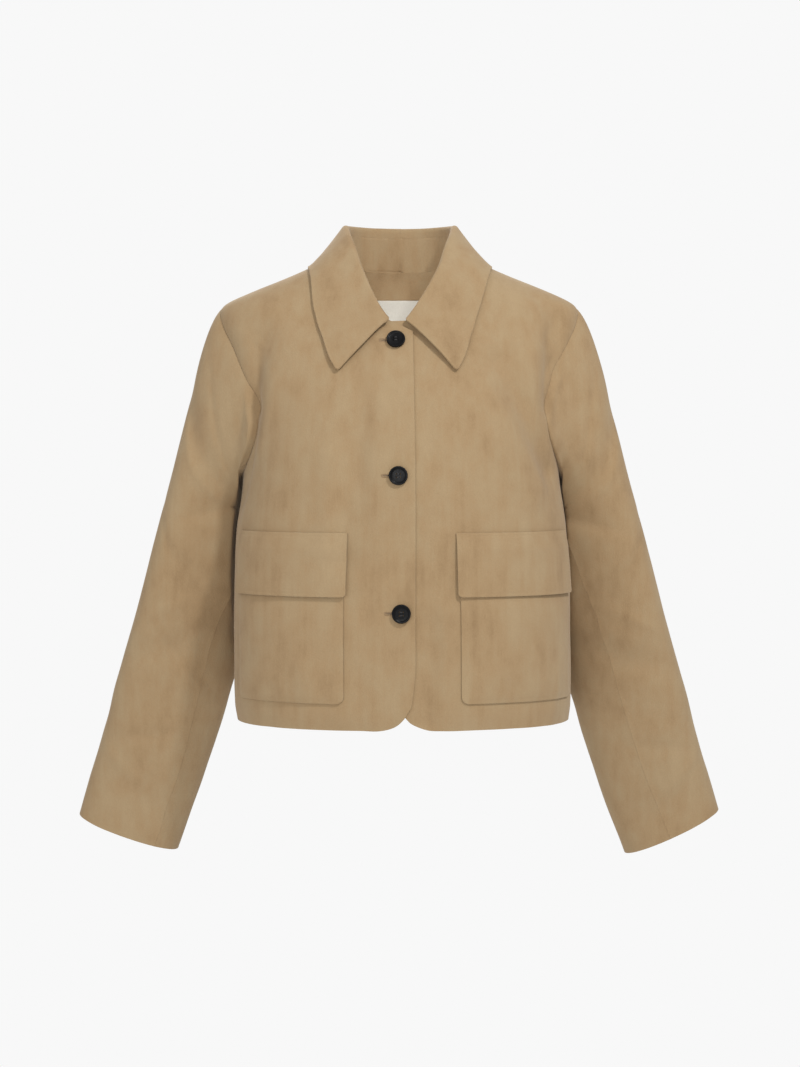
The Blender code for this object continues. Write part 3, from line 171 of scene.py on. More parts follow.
TORSO_SECTIONS = table(TorsoSection, (
    (-0.508, 0.1815, 0.1225, 0.1205, 2.35, 0.003), (-0.49, 0.184, 0.1245, 0.1225, 2.35, 0.0028),
    (-0.43, 0.1845, 0.125, 0.1235, 2.35, 0.0025), (-0.37, 0.184, 0.125, 0.1235, 2.35, 0.002),
    (-0.3, 0.1805, 0.1245, 0.124, 2.32, 0.0015), (-0.247, 0.174, 0.123, 0.124, 2.3, 0.001),
    (-0.205, 0.1735, 0.118, 0.122, 2.28, 0.0005), (-0.17, 0.1775, 0.1095, 0.118, 2.25, 0),
    (-0.135, 0.184, 0.0985, 0.1115, 2.22, 0), (-0.1, 0.1925, 0.083, 0.102, 2.2, -0.0005),
    (-0.076, 0.198, 0.069, 0.093, 2.15, -0.001), (-0.057, 0.193, 0.061, 0.084, 2.12, -0.001),
    (-0.043, 0.167, 0.056, 0.076, 2.1, -0.0005), (-0.025, 0.123, 0.05, 0.067, 2.1, 0),
    (-0.012, 0.093, 0.045, 0.059, 2.1, 0), (0, 0.068, 0.04, 0.05, 2.1, 0),
))


class Place(NamedTuple):
    """A place on the body form: degrees round from the centre front, and height."""

    angle: float
    height: float


NECKLINE = table(Place, (
    (0, -0.0765), (4, -0.0745), (8.5, -0.064), (13.5, -0.046), (23.5, -0.027), (39.5, -0.013),
    (61, -0.004), (90, 0), (112, -0.0025), (133, -0.006), (152, -0.011), (168, -0.0136), (180, -0.014),
))
FRONT_ARMHOLE = table(Place, (
    (95, -0.243), (86, -0.24), (75, -0.226), (66, -0.204), (61.5, -0.18), (61, -0.16), (64, -0.133),
    (67, -0.108), (73, -0.083), (80, -0.067), (90, -0.057),
))
BACK_ARMHOLE = table(Place, (
    (95, -0.243), (103, -0.238), (111, -0.222), (116, -0.196), (116.5, -0.17), (114, -0.14),
    (109, -0.108), (102, -0.08), (96, -0.065), (90, -0.057),
))


class FrontEdge(NamedTuple):
    """Where the button line and the lapping edge run, by height."""

    height: float
    button_line: float
    lap_edge: float


FRONT_EDGE = table(FrontEdge, (
    (-0.508, 0.0035, 0.016), (-0.385, 0.0013, 0.016), (-0.241, -0.0018, 0.016),
    (-0.095, -0.0045, 0.0138), (-0.06, -0.0045, 0.0134),
))


class BodyFold(NamedTuple):
    """A soft trough (negative depth) or ridge between two places on the body."""

    start_angle: float
    start_height: float
    end_angle: float
    end_height: float
    width: float
    depth: float


LARGE_FOLDS = table(BodyFold, (
    (-50, -0.095, -62, -0.165, 0.019, -0.0045), (-60, -0.17, -78, -0.265, 0.018, -0.005),
    (56, -0.085, 62, -0.16, 0.02, -0.005), (33, -0.12, 62, -0.235, 0.02, -0.0045),
    (26, -0.17, 50, -0.262, 0.018, 0.003), (-14, -0.19, -17, -0.33, 0.018, -0.003),
    (9, -0.4, 8, -0.495, 0.015, -0.003), (16, -0.385, 15, -0.505, 0.016, 0.0025),
    (-20, -0.49, -14, -0.4, 0.016, 0.0022), (118, -0.19, 150, -0.33, 0.022, -0.0055),
    (-116, -0.18, -146, -0.35, 0.022, -0.0055), (-128, -0.24, -160, -0.44, 0.024, 0.004),
    (132, -0.26, 158, -0.43, 0.022, 0.0035), (176, -0.3, 183, -0.508, 0.024, -0.004),
    (108, -0.3, 112, -0.5, 0.02, -0.0035), (-106, -0.33, -110, -0.505, 0.02, -0.0035),
))
# Smaller creases that only the finished surface has.
SOFT_CREASES = table(BodyFold, (
    (55, -0.06, 62, -0.122, 0.013, -0.0028), (62, -0.124, 78, -0.166, 0.012, -0.0026),
    (34, -0.118, 66, -0.238, 0.01, -0.0022), (28, -0.14, 56, -0.252, 0.01, 0.0018),
    (-44, -0.084, -62, -0.168, 0.01, -0.0022), (-19, -0.2, -19, -0.33, 0.011, -0.0016),
    (-25, -0.22, -24, -0.32, 0.01, 0.0012), (-52, -0.105, -60, -0.17, 0.007, -0.0016),
    (-46, -0.14, -58, -0.215, 0.01, 0.0012), (-62, -0.19, -72, -0.262, 0.008, -0.0018),
    (54, -0.09, 61, -0.17, 0.007, -0.0018), (47, -0.11, 55, -0.195, 0.01, 0.0014),
    (40, -0.15, 60, -0.238, 0.009, -0.0013), (30, -0.215, 48, -0.285, 0.01, -0.001),
    (-12, -0.16, -15, -0.25, 0.008, -0.0009), (-18, -0.25, -13, -0.35, 0.009, 0.001),
    (-9, -0.33, -11, -0.42, 0.007, -0.0009), (10, -0.19, 12, -0.29, 0.009, -0.0008),
    (15, -0.3, 13, -0.39, 0.008, 0.0009), (10, -0.42, 7, -0.5, 0.007, -0.0014),
    (-30, -0.498, -33, -0.44, 0.01, 0.001), (-48, -0.506, -45, -0.47, 0.009, -0.001),
    (38, -0.506, 35, -0.465, 0.01, -0.001), (56, -0.505, 58, -0.455, 0.009, 0.001),
    (100, -0.2, 118, -0.28, 0.01, -0.0018), (-100, -0.205, -120, -0.29, 0.011, -0.0018),
    (128, -0.15, 150, -0.23, 0.011, 0.0014), (-126, -0.14, -152, -0.235, 0.011, -0.0014),
    (140, -0.31, 165, -0.42, 0.011, -0.0016), (-138, -0.34, -163, -0.43, 0.011, 0.0014),
    (170, -0.07, 172, -0.15, 0.012, -0.001), (-165, -0.38, -172, -0.5, 0.01, -0.0013),
    (92, -0.42, 98, -0.505, 0.01, -0.0014), (-90, -0.41, -97, -0.505, 0.01, -0.0014),
))


class SleeveSection(NamedTuple):
    """One section of the hanging sleeve, on the left side."""

    height: float
    centre_x: float
    centre_y: float
    half_width: float
    half_depth: float
    turn: float
    slant: float


SLEEVE_SECTIONS = table(SleeveSection, (
    (-0.272, 0.1999, 0.027, 0.0645, 0.034, 36, 13), (-0.324, 0.212, 0.031, 0.0662, 0.033, 33, 13),
    (-0.38, 0.2252, 0.037, 0.0665, 0.032, 29, 14), (-0.436, 0.2402, 0.043, 0.0657, 0.031, 25, 15.5),
    (-0.494, 0.2575, 0.051, 0.0645, 0.03, 19, 17), (-0.553, 0.2755, 0.06, 0.0618, 0.029, 14, 18),
    (-0.605, 0.293, 0.068, 0.0605, 0.029, 11.5, 20), (-0.645, 0.3065, 0.074, 0.0592, 0.029, 12, 23),
))


class SleeveSeam(NamedTuple):
    """Angles of a sleeve's two seams by the share of its length."""

    share: float
    front_right: float
    front_left: float
    back: float


SLEEVE_SEAMS = table(SleeveSeam, (
    (0, 150, 140, 270), (0.3, 152, 140, 278), (0.45, 146, 128, 283), (0.6, 131, 115, 287),
    (1, 119, 90, 290),
))


class SleeveFold(NamedTuple):
    """A fold that presses the sleeve in; slope is its run along for each radian round."""

    share: float
    angle: float
    slope: float
    width: float
    reach: float
    depth: float


SLEEVE_FOLDS = table(SleeveFold, (
    (0.24, 60, 0.05, 0.03, 50, -0.0045), (0.33, 150, -0.04, 0.028, 60, -0.004),
    (0.55, 140, 0.05, 0.03, 60, -0.0035), (0.63, 95, -0.05, 0.028, 60, -0.003),
    (0.74, 265, 0.03, 0.035, 70, -0.0035), (0.93, 110, 0.02, 0.04, 45, -0.0035),
))
SLEEVE_CREASES = table(SleeveFold, (
    (0.2, 85, 0.1, 0.012, 45, -0.0016), (0.29, 70, 0.07, 0.012, 40, 0.0014),
    (0.36, 120, -0.05, 0.012, 45, -0.0016), (0.44, 60, 0.09, 0.014, 42, -0.0012),
    (0.5, 130, 0.04, 0.012, 45, -0.0015), (0.57, 75, -0.07, 0.013, 38, 0.0012),
    (0.66, 115, 0.06, 0.012, 40, -0.0014), (0.81, 80, -0.04, 0.014, 40, -0.0012),
    (0.88, 60, 0.05, 0.013, 35, 0.001), (0.27, 250, 0.06, 0.013, 45, -0.0016),
    (0.47, 260, -0.05, 0.013, 50, -0.0014), (0.6, 240, 0.05, 0.012, 50, 0.0013),
    (0.83, 280, 0.04, 0.014, 45, -0.0013),
))
SLEEVE_FILLS = table(SleeveFold, (
    (0.26, 160, 0, 0.06, 34, 0.012), (0.37, 158, 0, 0.06, 34, 0.0105), (0.5, 150, 0, 0.08, 34, 0.007),
))


class Wave(NamedTuple):
    """Small unevenness: how deep, how wide and which pattern."""

    depth: float
    size: float
    seed: int


SKIN_WAVES = table(Wave, ((0.0005, 0.045, 3), (0.00025, 0.018, 5)))
LEAF_WAVES = table(Wave, ((0.0007, 0.03, 21), (0.0003, 0.012, 22)))
SLEEVE_WAVES = table(Wave, ((0.0007, 1, 11), (0.0003, 1 / 2.6, 12)))


class CollarStation(NamedTuple):
    """The collar across one place of the neckline."""

    neck_angle: float
    fold_x: float
    fold_y: float
    fold_z: float
    edge_angle: float
    edge_z: float
    standoff: float
    roll: float


COLLAR_STATIONS = table(CollarStation, (
    (4, 0.0105, -0.078, -0.0755, 19.6, -0.1316, 0.0065, 0.0031),
    (8.5, 0.021, -0.07, -0.057, 21.9, -0.1147, 0.0062, 0.0033),
    (13.5, 0.031, -0.0595, -0.038, 23.7, -0.0903, 0.006, 0.0036),
    (23.5, 0.0405, -0.0475, -0.017, 26.9, -0.0587, 0.0058, 0.004),
    (31, 0.0456, -0.039, -0.004, 32.7, -0.0436, 0.0056, 0.0041),
    (39.5, 0.05, -0.03, 0.008, 41.1, -0.0323, 0.0055, 0.0042),
    (50, 0.0533, -0.0212, 0.0163, 51.6, -0.0242, 0.0052, 0.0043),
    (61, 0.0555, -0.013, 0.022, 62.3, -0.0192, 0.005, 0.0043),
    (90, 0.059, 0.008, 0.0325, 90, -0.014, 0.0045, 0.0044),
    (112, 0.057, 0.024, 0.034, 110, -0.0175, 0.005, 0.0045),
    (138, 0.046, 0.042, 0.0345, 136.5, -0.0245, 0.006, 0.0046),
    (160, 0.026, 0.055, 0.0342, 159, -0.0285, 0.0065, 0.0046),
    (180, 0, 0.059, 0.034, 180, -0.029, 0.0065, 0.0046),
))

# --------------------------------------------------------------- grid densities
ROWS_BELOW_ARMHOLE = (
    -0.508, POCKET_BOTTOM, -0.445, -0.407, FLAP_BOTTOM, -0.343, POCKET_TOP, FLAP_TOP, -0.272,
    UNDERARM_HEIGHT,
)
ARMHOLE_STEPS = 10
LAP_ANGLE = 0.0
LEFT_FRONT_ANGLES = (
    3.0, 8.0, 13.5, POCKET_INNER_ANGLE, 27.5, 36.0, 45.0, 54.0, 62.5, LEFT_POCKET_OUTER_ANGLE,
    79.0, 87.0,
)
RIGHT_FRONT_ANGLES = (
    3.0, 8.0, 13.5, POCKET_INNER_ANGLE, 27.5, 36.0, 44.5, 52.5, 60.0, RIGHT_POCKET_OUTER_ANGLE,
    76.0, 87.0,
)
FRONT_NECK_ANGLES = (4.0, 8.5, 14.0, 22.0, 33.0, 48.0, 68.0)
SHOULDER_STEPS = 5
BACK_ANGLES = (180.0, 171.5, 163.0, 154.5, 145.5, 136.5, 128.0, 119.5, 111.5, 103.0)
BACK_NECK_STEPS = len(BACK_ANGLES) - SHOULDER_STEPS
RING_STEP = 180.0 / ARMHOLE_STEPS
FINER = 6                     # shell columns and rows for each one of the solids
STRIP_COUNTS = (               # neck angles and the strips of the collar up to the next one
    (4.0, 20), (8.5, 20), (13.5, 24), (23.5, 20), (39.5, 18), (61.0, 18), (90.0, 14), (112.0, 16),
    (138.0, 14), (160.0, 14), (180.0, 0),
)


# ------------------------------------------------------------------ curve helpers
def slopes_at(keys: Array, values: Array) -> Array:
    """Slope of a table at each key, from its two neighbours.

    Args:
        keys: Rising positions.
        values: The value at each position.

    Returns:
        The slopes.
    """
    place = np.arange(len(keys))
    before, after = np.maximum(place - 1, 0), np.minimum(place + 1, len(keys) - 1)
    span = (keys[after] - keys[before]).reshape((-1,) + (1,) * (values.ndim - 1))
    return (values[after] - values[before]) / span


def cubic(first: Array, rise: Array, start: Array, end: Array, t: Array) -> Array:
    """Smooth run from first over its rise, with its slopes at both ends."""
    bend = start + end - 2 * rise
    return first + t * (start + t * (rise - start - bend + t * bend))


def curve(keys: Sequence[float], values: Sequence[float], at: Array) -> Array:
    """Smooth curve through a table, level past both ends.

    Args:
        keys: Rising positions.
        values: The value at each position.
        at: Positions to read.

    Returns:
        The values there, in the shape of at.
    """
    k, v = np.asarray(keys, float), np.asarray(values, float)
    x = np.clip(np.asarray(at, float), k[0], k[-1])
    low = np.clip(np.searchsorted(k, x, side="right") - 1, 0, len(k) - 2)
    span = k[low + 1] - k[low]
    slopes = slopes_at(k, v)
    rise, start, end = v[low + 1] - v[low], slopes[low] * span, slopes[low + 1] * span
    return cubic(v[low], rise, start, end, (x - k[low]) / span)


class Profile:
    """A table of named columns, read as smooth curves of its first column."""

    def __init__(self, rows: Sequence[NamedTuple]) -> None:
        """Keep the rows' columns by name."""
        self.keys = [row[0] for row in rows]
        self.columns = {name: [getattr(row, name) for row in rows] for name in rows[0]._fields[1:]}

    def at(self, key: Array, name: str) -> Array:
        """Value of one column at the keys given."""
        return curve(self.keys, self.columns[name], key)

    def all(self, key: Array, *names: str) -> Array:
        """Several columns at the keys given, side by side."""
        return np.stack([self.at(key, name) for name in names], -1)


def mix(start: Array, end: Array, share: Array) -> Array:
    """Value part of the way from start to end."""
    return start + (end - start) * share


def smooth_step(share: Array) -> Array:
    """S-shaped rise from 0 to 1."""
    t = np.clip(share, 0.0, 1.0)
    return t * t * (3.0 - 2.0 * t)


def steps(first: float, last: float, count: int) -> list[float]:
    """Evenly spaced values, both ends included."""
    return [first + (last - first) * i / count for i in range(count + 1)]


def wrapped(angle: Array) -> Array:
    """Angle in degrees brought to -180 ... 180."""
    return (angle + 180.0) % 360.0 - 180.0


def unit(vectors: Array) -> Array:
    """Vectors scaled to length one."""
    return vectors / np.maximum(np.linalg.norm(vectors, axis=-1, keepdims=True), 1e-12)


def dot(one: Array, other: Array) -> Array:
    """Dot product that keeps the last axis."""
    return np.sum(one * other, axis=-1, keepdims=True)


def paired(one: Array, other: Array) -> list[Array]:
    """Two values as arrays of one shape."""
    return np.broadcast_arrays(np.asarray(one, float), np.asarray(other, float))


def refine(values: Array, breaks: Sequence[int]) -> Array:
    """Smoothly closer rows of a grid, along its first axis.

    Args:
        values: Grid whose first axis is made FINER times as close.
        breaks: Rows at which the run may turn sharply.

    Returns:
        The closer grid.
    """
    stops = [0, *sorted(breaks), len(values) - 1]
    parts = []
    for first, last in zip(stops, stops[1:]):
        part = values[first : last + 1]
        at = np.linspace(0, last - first, (last - first) * FINER + 1)
        low = np.minimum(at.astype(int), last - first - 1)
        t = (at - low).reshape((-1,) + (1,) * (values.ndim - 1))
        slope = slopes_at(np.arange(len(part)), part)
        fine = cubic(part[low], part[low + 1] - part[low], slope[low], slope[low + 1], t)
        parts.append(fine if last == stops[-1] else fine[:-1])
    return np.concatenate(parts)


def value_noise(points: Array, seed: int) -> Array:
    """Smooth random values from -1 to 1 on a unit lattice.

    Args:
        points: Positions, last axis of length three.
        seed: Picks the pattern.

    Returns:
        One value for each position.
    """
    cell = np.floor(points).astype(np.int64)
    t = points - cell
    t = t * t * (3 - 2 * t)
    total = np.zeros(points.shape[:-1])
    for corner in range(8):
        bits = np.array([(corner >> k) & 1 for k in range(3)])
        key = (cell + bits) * LATTICE_PRIMES
        mixed = key[..., 0] ^ key[..., 1] ^ key[..., 2]
        mixed = (mixed + seed * SEED_PRIME) & LATTICE_MASK
        mixed = (mixed ^ (mixed >> 13)) * MIXING_PRIME & LATTICE_MASK
        value = ((mixed ^ (mixed >> 16)) & 0xFFFF) / 32767.5 - 1.0
        total += value * np.prod(np.where(bits == 1, t, 1 - t), axis=-1)
    return total


def ripple(points: Array, waves: Sequence[Wave]) -> Array:
    """Sum of small waves at points."""
    return sum(wave.depth * value_noise(points / wave.size, wave.seed) for wave in waves)


# --------------------------------------------------------------------- body form
TORSO = Profile(TORSO_SECTIONS)
NECK = Profile(NECKLINE)
EDGE = Profile(FRONT_EDGE)


def section_radius(angle: Array, fullness: Array) -> Array:
    """Radius of a rounded unit section at an angle in radians."""
    return (np.abs(np.sin(angle)) ** fullness + np.abs(np.cos(angle)) ** fullness) ** (-1.0 / fullness)


def section_depth(angle: Array, height: Array) -> Array:
    """Half depth of the body's section at an angle in radians."""
    front, back = TORSO.at(height, "front_depth"), TORSO.at(height, "back_depth")
    return 0.5 * (front + back) + 0.5 * (front - back) * np.cos(angle)


def form_point(angle_degrees: Array, height: Array) -> Array:
    """Points of the plain body form.

    Args:
        angle_degrees: Degrees round from the centre front.
        height: Heights there.

    Returns:
        The points.
    """
    angle_degrees, height = paired(angle_degrees, height)
    angle = np.radians(angle_degrees)
    radius = section_radius(angle, TORSO.at(height, "fullness"))
    x = TORSO.at(height, "sideways") + TORSO.at(height, "half_width") * radius * np.sin(angle)
    return np.stack([x, -section_depth(angle, height) * radius * np.cos(angle), height], axis=-1)


def form_normal(angle: Array, height: Array) -> Array:
    """Outward normals of the plain body form.

    Args:
        angle: Degrees round from the centre front.
        height: Heights there.

    Returns:
        The normals.
    """
    angle, height = paired(angle, height)
    below = np.minimum(height, -NORMAL_ROOM)
    across = form_point(angle + NORMAL_TURN, below) - form_point(angle - NORMAL_TURN, below)
    along = form_point(angle, below + NORMAL_RISE) - form_point(angle, below - NORMAL_RISE)
    return unit(np.cross(across, along))


def below_neck(angle: Array, height: Array, fade: float) -> Array:
    """Rise from 0 at the neckline to 1 at a distance below it."""
    return smooth_step((NECK.at(np.abs(wrapped(angle)), "height") - height) / fade)


def fold_sum(angle: Array, height: Array, folds: Sequence[BodyFold]) -> Array:
    """How far a list of folds moves the suede off the plain form.

    Args:
        angle: Degrees round from the centre front.
        height: Heights there.
        folds: Folds to add up.

    Returns:
        Distances, in metres.
    """
    total = np.zeros(np.broadcast(angle, height).shape)
    for fold in folds:
        run_x = math.radians(fold.end_angle - fold.start_angle) * FOLD_SCALE
        run_z = fold.end_height - fold.start_height
        from_x = np.radians(wrapped(angle - fold.start_angle)) * FOLD_SCALE
        from_z = height - fold.start_height
        near = np.clip((from_x * run_x + from_z * run_z) / (run_x**2 + run_z**2), 0.0, 1.0)
        gap = (from_x - near * run_x) ** 2 + (from_z - near * run_z) ** 2
        total = total + fold.depth * np.exp(-gap / fold.width**2)
    return total * below_neck(angle, height, FOLD_FADE)


def skin(angle: Array, height: Array, lift: Array | float = 0.0) -> Array:
    """Points on the creased body, moved out by lift.

    Args:
        angle: Degrees round from the centre front.
        height: Heights there.
        lift: How far outside the form.

    Returns:
        The points.
    """
    angle, height = paired(angle, height)
    base = form_point(angle, height)
    waves = ripple(base, SKIN_WAVES) * below_neck(angle, height, WAVE_FADE)
    move = fold_sum(angle, height, LARGE_FOLDS) + fold_sum(angle, height, SOFT_CREASES) + waves + lift
    return base + form_normal(angle, height) * np.expand_dims(move, -1)


def angle_across(x: Array, height: Array) -> Array:
    """Angle of the point of the body's front that lies at x.

    Args:
        x: Place across the body.
        height: Height of the point.

    Returns:
        The angle in degrees.
    """
    share = (x - TORSO.at(height, "sideways")) / TORSO.at(height, "half_width")
    fullness = TORSO.at(height, "fullness")
    power = np.minimum(np.abs(share), SIDE_LIMIT) ** fullness
    angle = np.degrees(np.arctan((power / (1.0 - power)) ** (1.0 / fullness)))
    return np.where(share >= 0, angle, -angle)


def lap_lift(x: Array) -> Array:
    """How far the lapping front rises over the other one."""
    return (WALL + UNDERLAP_ROOM) * smooth_step((x - LAP_RAMP_START) / (LAP_RAMP_END - LAP_RAMP_START))


def lap_over(side: Array | int, points: Array) -> Array:
    """Rise of the lapping side's points, and none on the other side."""
    return np.where(side < 0, lap_lift(points[..., 0]), 0.0)


def clear_of_body(points: Array, clearance: Array | float, softness: Array | float) -> Array:
    """Points moved out from the body's axis until they clear the form.

    Args:
        points: Points outside the body or in it.
        clearance: Gap to keep.
        softness: How softly the gap closes.

    Returns:
        The moved points.
    """
    height = np.minimum(points[..., 2], -NORMAL_RISE)
    sideways = TORSO.at(height, "sideways")
    x, y = points[..., 0] - sideways, points[..., 1]
    angle = np.arctan2(x, -y)
    fullness = TORSO.at(height, "fullness")
    width_part = (np.abs(np.sin(angle)) / TORSO.at(height, "half_width")) ** fullness
    depth_part = (np.abs(np.cos(angle)) / section_depth(angle, height)) ** fullness
    limit = (width_part + depth_part) ** (-1.0 / fullness) + clearance
    distance = np.sqrt(x**2 + y**2)
    over = distance - limit
    scale = (limit + 0.5 * (over + np.sqrt(over * over + softness**2))) / distance
    return np.stack([sideways + x * scale, y * scale, points[..., 2]], axis=-1)


# ------------------------------------------------------------------------ meshes
class Shade(Enum):
    """How a piece's faces are shaded."""

    SMOOTH = "smooth"
    CREASED = "creased"


def link(name: str, data: bpy.types.ID) -> Object:
    """New object in the scene.

    Args:
        name: Its name.
        data: Its mesh, light or camera.

    Returns:
        The object.
    """
    thing = bpy.data.objects.new(name, data)
    bpy.context.scene.collection.objects.link(thing)
    return thing


def new_piece(name: str, mesh: Mesh, material: Material, shade: Shade) -> Object:
    """Link a mesh as a finished piece that rides on the root body.

    Args:
        name: The piece's name.
        mesh: Its mesh, with places already in it.
        material: Its finish.
        shade: Smooth all over, or creased at sharp edges.

    Returns:
        The object.
    """
    mesh.materials.clear()
    mesh.materials.append(material)
    mesh.shade_smooth()
    if shade is Shade.CREASED:
        mesh.set_sharp_from_angle(angle=CREASE_ANGLE)
    piece = link(name, mesh)
    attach(piece, "root")
    LOG.info("%s: %d faces", name, len(mesh.polygons))
    return piece


@dataclass
class Wall:
    """A closed sheet: outer points, their normals and a thickness."""

    points: Array
    normals: Array
    thickness: float
    uv: Array | None = None
    edge_round: float = 0.17

    def mesh(self, name: str) -> Mesh:
        """Closed mesh with softly rounded cut edges and a UV map in metres.

        Args:
            name: Its name.

        Returns:
            The mesh.
        """
        rows, columns = self.points.shape[:2]
        count = rows * columns
        outer = self.points.reshape(-1, 3)
        inner = (self.points - self.normals * self.thickness).reshape(-1, 3)
        border = self.border(rows, columns)
        grid = np.arange(count).reshape(rows, columns)
        corners = (grid[:-1, :-1], grid[:-1, 1:], grid[1:, 1:], grid[1:, :-1])
        quads = np.stack(corners, -1).reshape(-1, 4)
        following = np.roll(border, -1)
        rim = np.arange(len(border)) + 2 * count
        rim_next = np.roll(rim, -1)
        sides = [np.stack([following, border, rim, rim_next], -1),
                 np.stack([rim_next, rim, border + count, following + count], -1)]
        faces = np.concatenate([quads, quads[:, ::-1] + count, *sides])
        mesh = bpy.data.meshes.new(name)
        vertices = np.concatenate([outer, inner, self.rim(outer, inner, border)])
        mesh.from_pydata(vertices.tolist(), [], faces.tolist())
        self.lay_uv(mesh, border)
        face_out(mesh)
        return mesh

    @staticmethod
    def border(rows: int, columns: int) -> Array:
        """Indices once round the grid's edge.

        Args:
            rows: Rows of the grid.
            columns: Columns of the grid.

        Returns:
            The indices.
        """
        right = np.arange(1, rows) * columns + columns - 1
        bottom = (rows - 1) * columns + np.arange(columns - 2, -1, -1)
        return np.concatenate([np.arange(columns), right, bottom, np.arange(rows - 2, 0, -1) * columns])

    def rim(self, outer: Array, inner: Array, border: Array) -> Array:
        """Middle line of the cut edge, a little outside its corners.

        Args:
            outer: Outer points.
            inner: Inner points.
            border: Indices once round the edge.

        Returns:
            The line's points.
        """
        rows, columns = self.points.shape[:2]
        here = 0.5 * (outer[border] + inner[border])
        run = unit(np.roll(here, -1, axis=0) - np.roll(here, 1, axis=0))
        out = unit(np.cross(run, unit(outer[border] - inner[border])))
        row, column = np.clip(border // columns, 1, rows - 2), np.clip(border % columns, 1, columns - 2)
        step_in = outer[row * columns + column] - outer[border]
        sign = np.where(dot(out, step_in) > 0, -1.0, 1.0)
        return here + out * sign * self.thickness * self.edge_round * 0.5

    def lay_uv(self, mesh: Mesh, border: Array) -> None:
        """Give the mesh a UV map measured along and across the sheet, in metres.

        Args:
            mesh: The mesh.
            border: Indices once round the edge.
        """
        flat = self.uv
        if flat is None:
            across = np.linalg.norm(np.diff(self.points, axis=1, prepend=self.points[:, :1]), axis=-1)
            along = np.linalg.norm(np.diff(self.points, axis=0, prepend=self.points[:1]), axis=-1)
            flat = np.stack([np.cumsum(across, axis=1), np.cumsum(along, axis=0)], -1)
        flat = flat.reshape(-1, 2)
        flat = np.concatenate([flat, flat, flat[border]])
        layer = mesh.uv_layers.new(name="cut")
        loops = np.empty(len(mesh.loops), dtype=np.int32)
        mesh.loops.foreach_get("vertex_index", loops)
        layer.data.foreach_set("uv", flat[loops].ravel())


def face_out(mesh: Mesh) -> None:
    """Turn a closed mesh's faces outwards.

    Args:
        mesh: The mesh.
    """
    shape = bmesh.new()
    shape.from_mesh(mesh)
    bmesh.ops.recalc_face_normals(shape, faces=shape.faces[:])
    if shape.calc_volume(signed=True) < 0:
        bmesh.ops.reverse_faces(shape, faces=shape.faces[:])
    shape.to_mesh(mesh)
    shape.free()


def made(shape: bmesh.types.BMesh, name: str) -> Mesh:
    """Mesh of a shape that is finished.

    Args:
        shape: Shape that is being built.
        name: Its name.

    Returns:
        The mesh.
    """
    mesh = bpy.data.meshes.new(name)
    shape.to_mesh(mesh)
    shape.free()
    return mesh


def skinned(shape: bmesh.types.BMesh, rings: Sequence[Sequence[Sequence[float]]]) -> None:
    """Add a closed solid through rings of points, with a face on each end.

    Args:
        shape: Shape that is being built.
        rings: Rings of places, all of one length.
    """
    verts = [[shape.verts.new(place) for place in ring] for ring in rings]
    for lower, upper in zip(verts, verts[1:]):
        for i in range(len(lower)):
            j = (i + 1) % len(lower)
            shape.faces.new((lower[i], lower[j], upper[j], upper[i]))
    shape.faces.new(verts[0][::-1])
    shape.faces.new(verts[-1])


class Side(Enum):
    """The sides of a grid: its lowest and highest row, its first and last column."""

    LOW = "low"
    HIGH = "high"
    FIRST = "first"
    LAST = "last"


def from_edges(shape: tuple[int, int], sides: Sequence[Side], spacing: Sequence[float]) -> Array:
    """Distance of a grid's places from the nearest of some of its edges.

    Args:
        shape: Rows and columns.
        sides: Which sides count.
        spacing: Mean spacing of the rows and of the columns.

    Returns:
        A grid of distances.
    """
    r, c = (np.arange(count) * step for count, step in zip(shape, spacing))
    r, c = np.meshgrid(r, c, indexing="ij")
    gaps = {Side.LOW: r, Side.HIGH: r[::-1], Side.FIRST: c, Side.LAST: c[:, ::-1]}
    return np.min([gaps[side] for side in sides], axis=0)


def bell(gap: Array, reach: float) -> Array:
    """Soft rise to 1 where a gap is nought."""
    return np.exp(-((gap / reach) ** 2))


# ------------------------------------------------------------------------ finishes
class Nodes:
    """Short ways to add nodes to a tree and to join them."""

    def __init__(self, tree: NodeTree) -> None:
        """Keep the tree."""
        self.tree = tree

    def put(self, kind: str, inputs: dict | None = None, **settings: object) -> Node:
        """Add a node.

        Args:
            kind: Its type.
            inputs: A value or a socket to join, for each input by name or place.
            settings: The node's own settings, made before its inputs are fed.

        Returns:
            The node.
        """
        node = self.tree.nodes.new(kind)
        for name, value in settings.items():
            setattr(node, name, value)
        self.feed(node, inputs or {})
        return node

    def feed(self, node: Node, inputs: dict) -> None:
        """Set or join a node's inputs.

        Args:
            node: The node.
            inputs: Value or socket for each input.
        """
        for name, value in inputs.items():
            if isinstance(value, Socket):
                self.tree.links.new(value, node.inputs[name])
            else:
                node.inputs[name].default_value = value


class Grain(NamedTuple):
    """A noise pattern; a stretch under one draws it out along that axis."""

    scale: float
    detail: float
    rough: float
    stretch: Triple = (1.0, 1.0, 1.0)


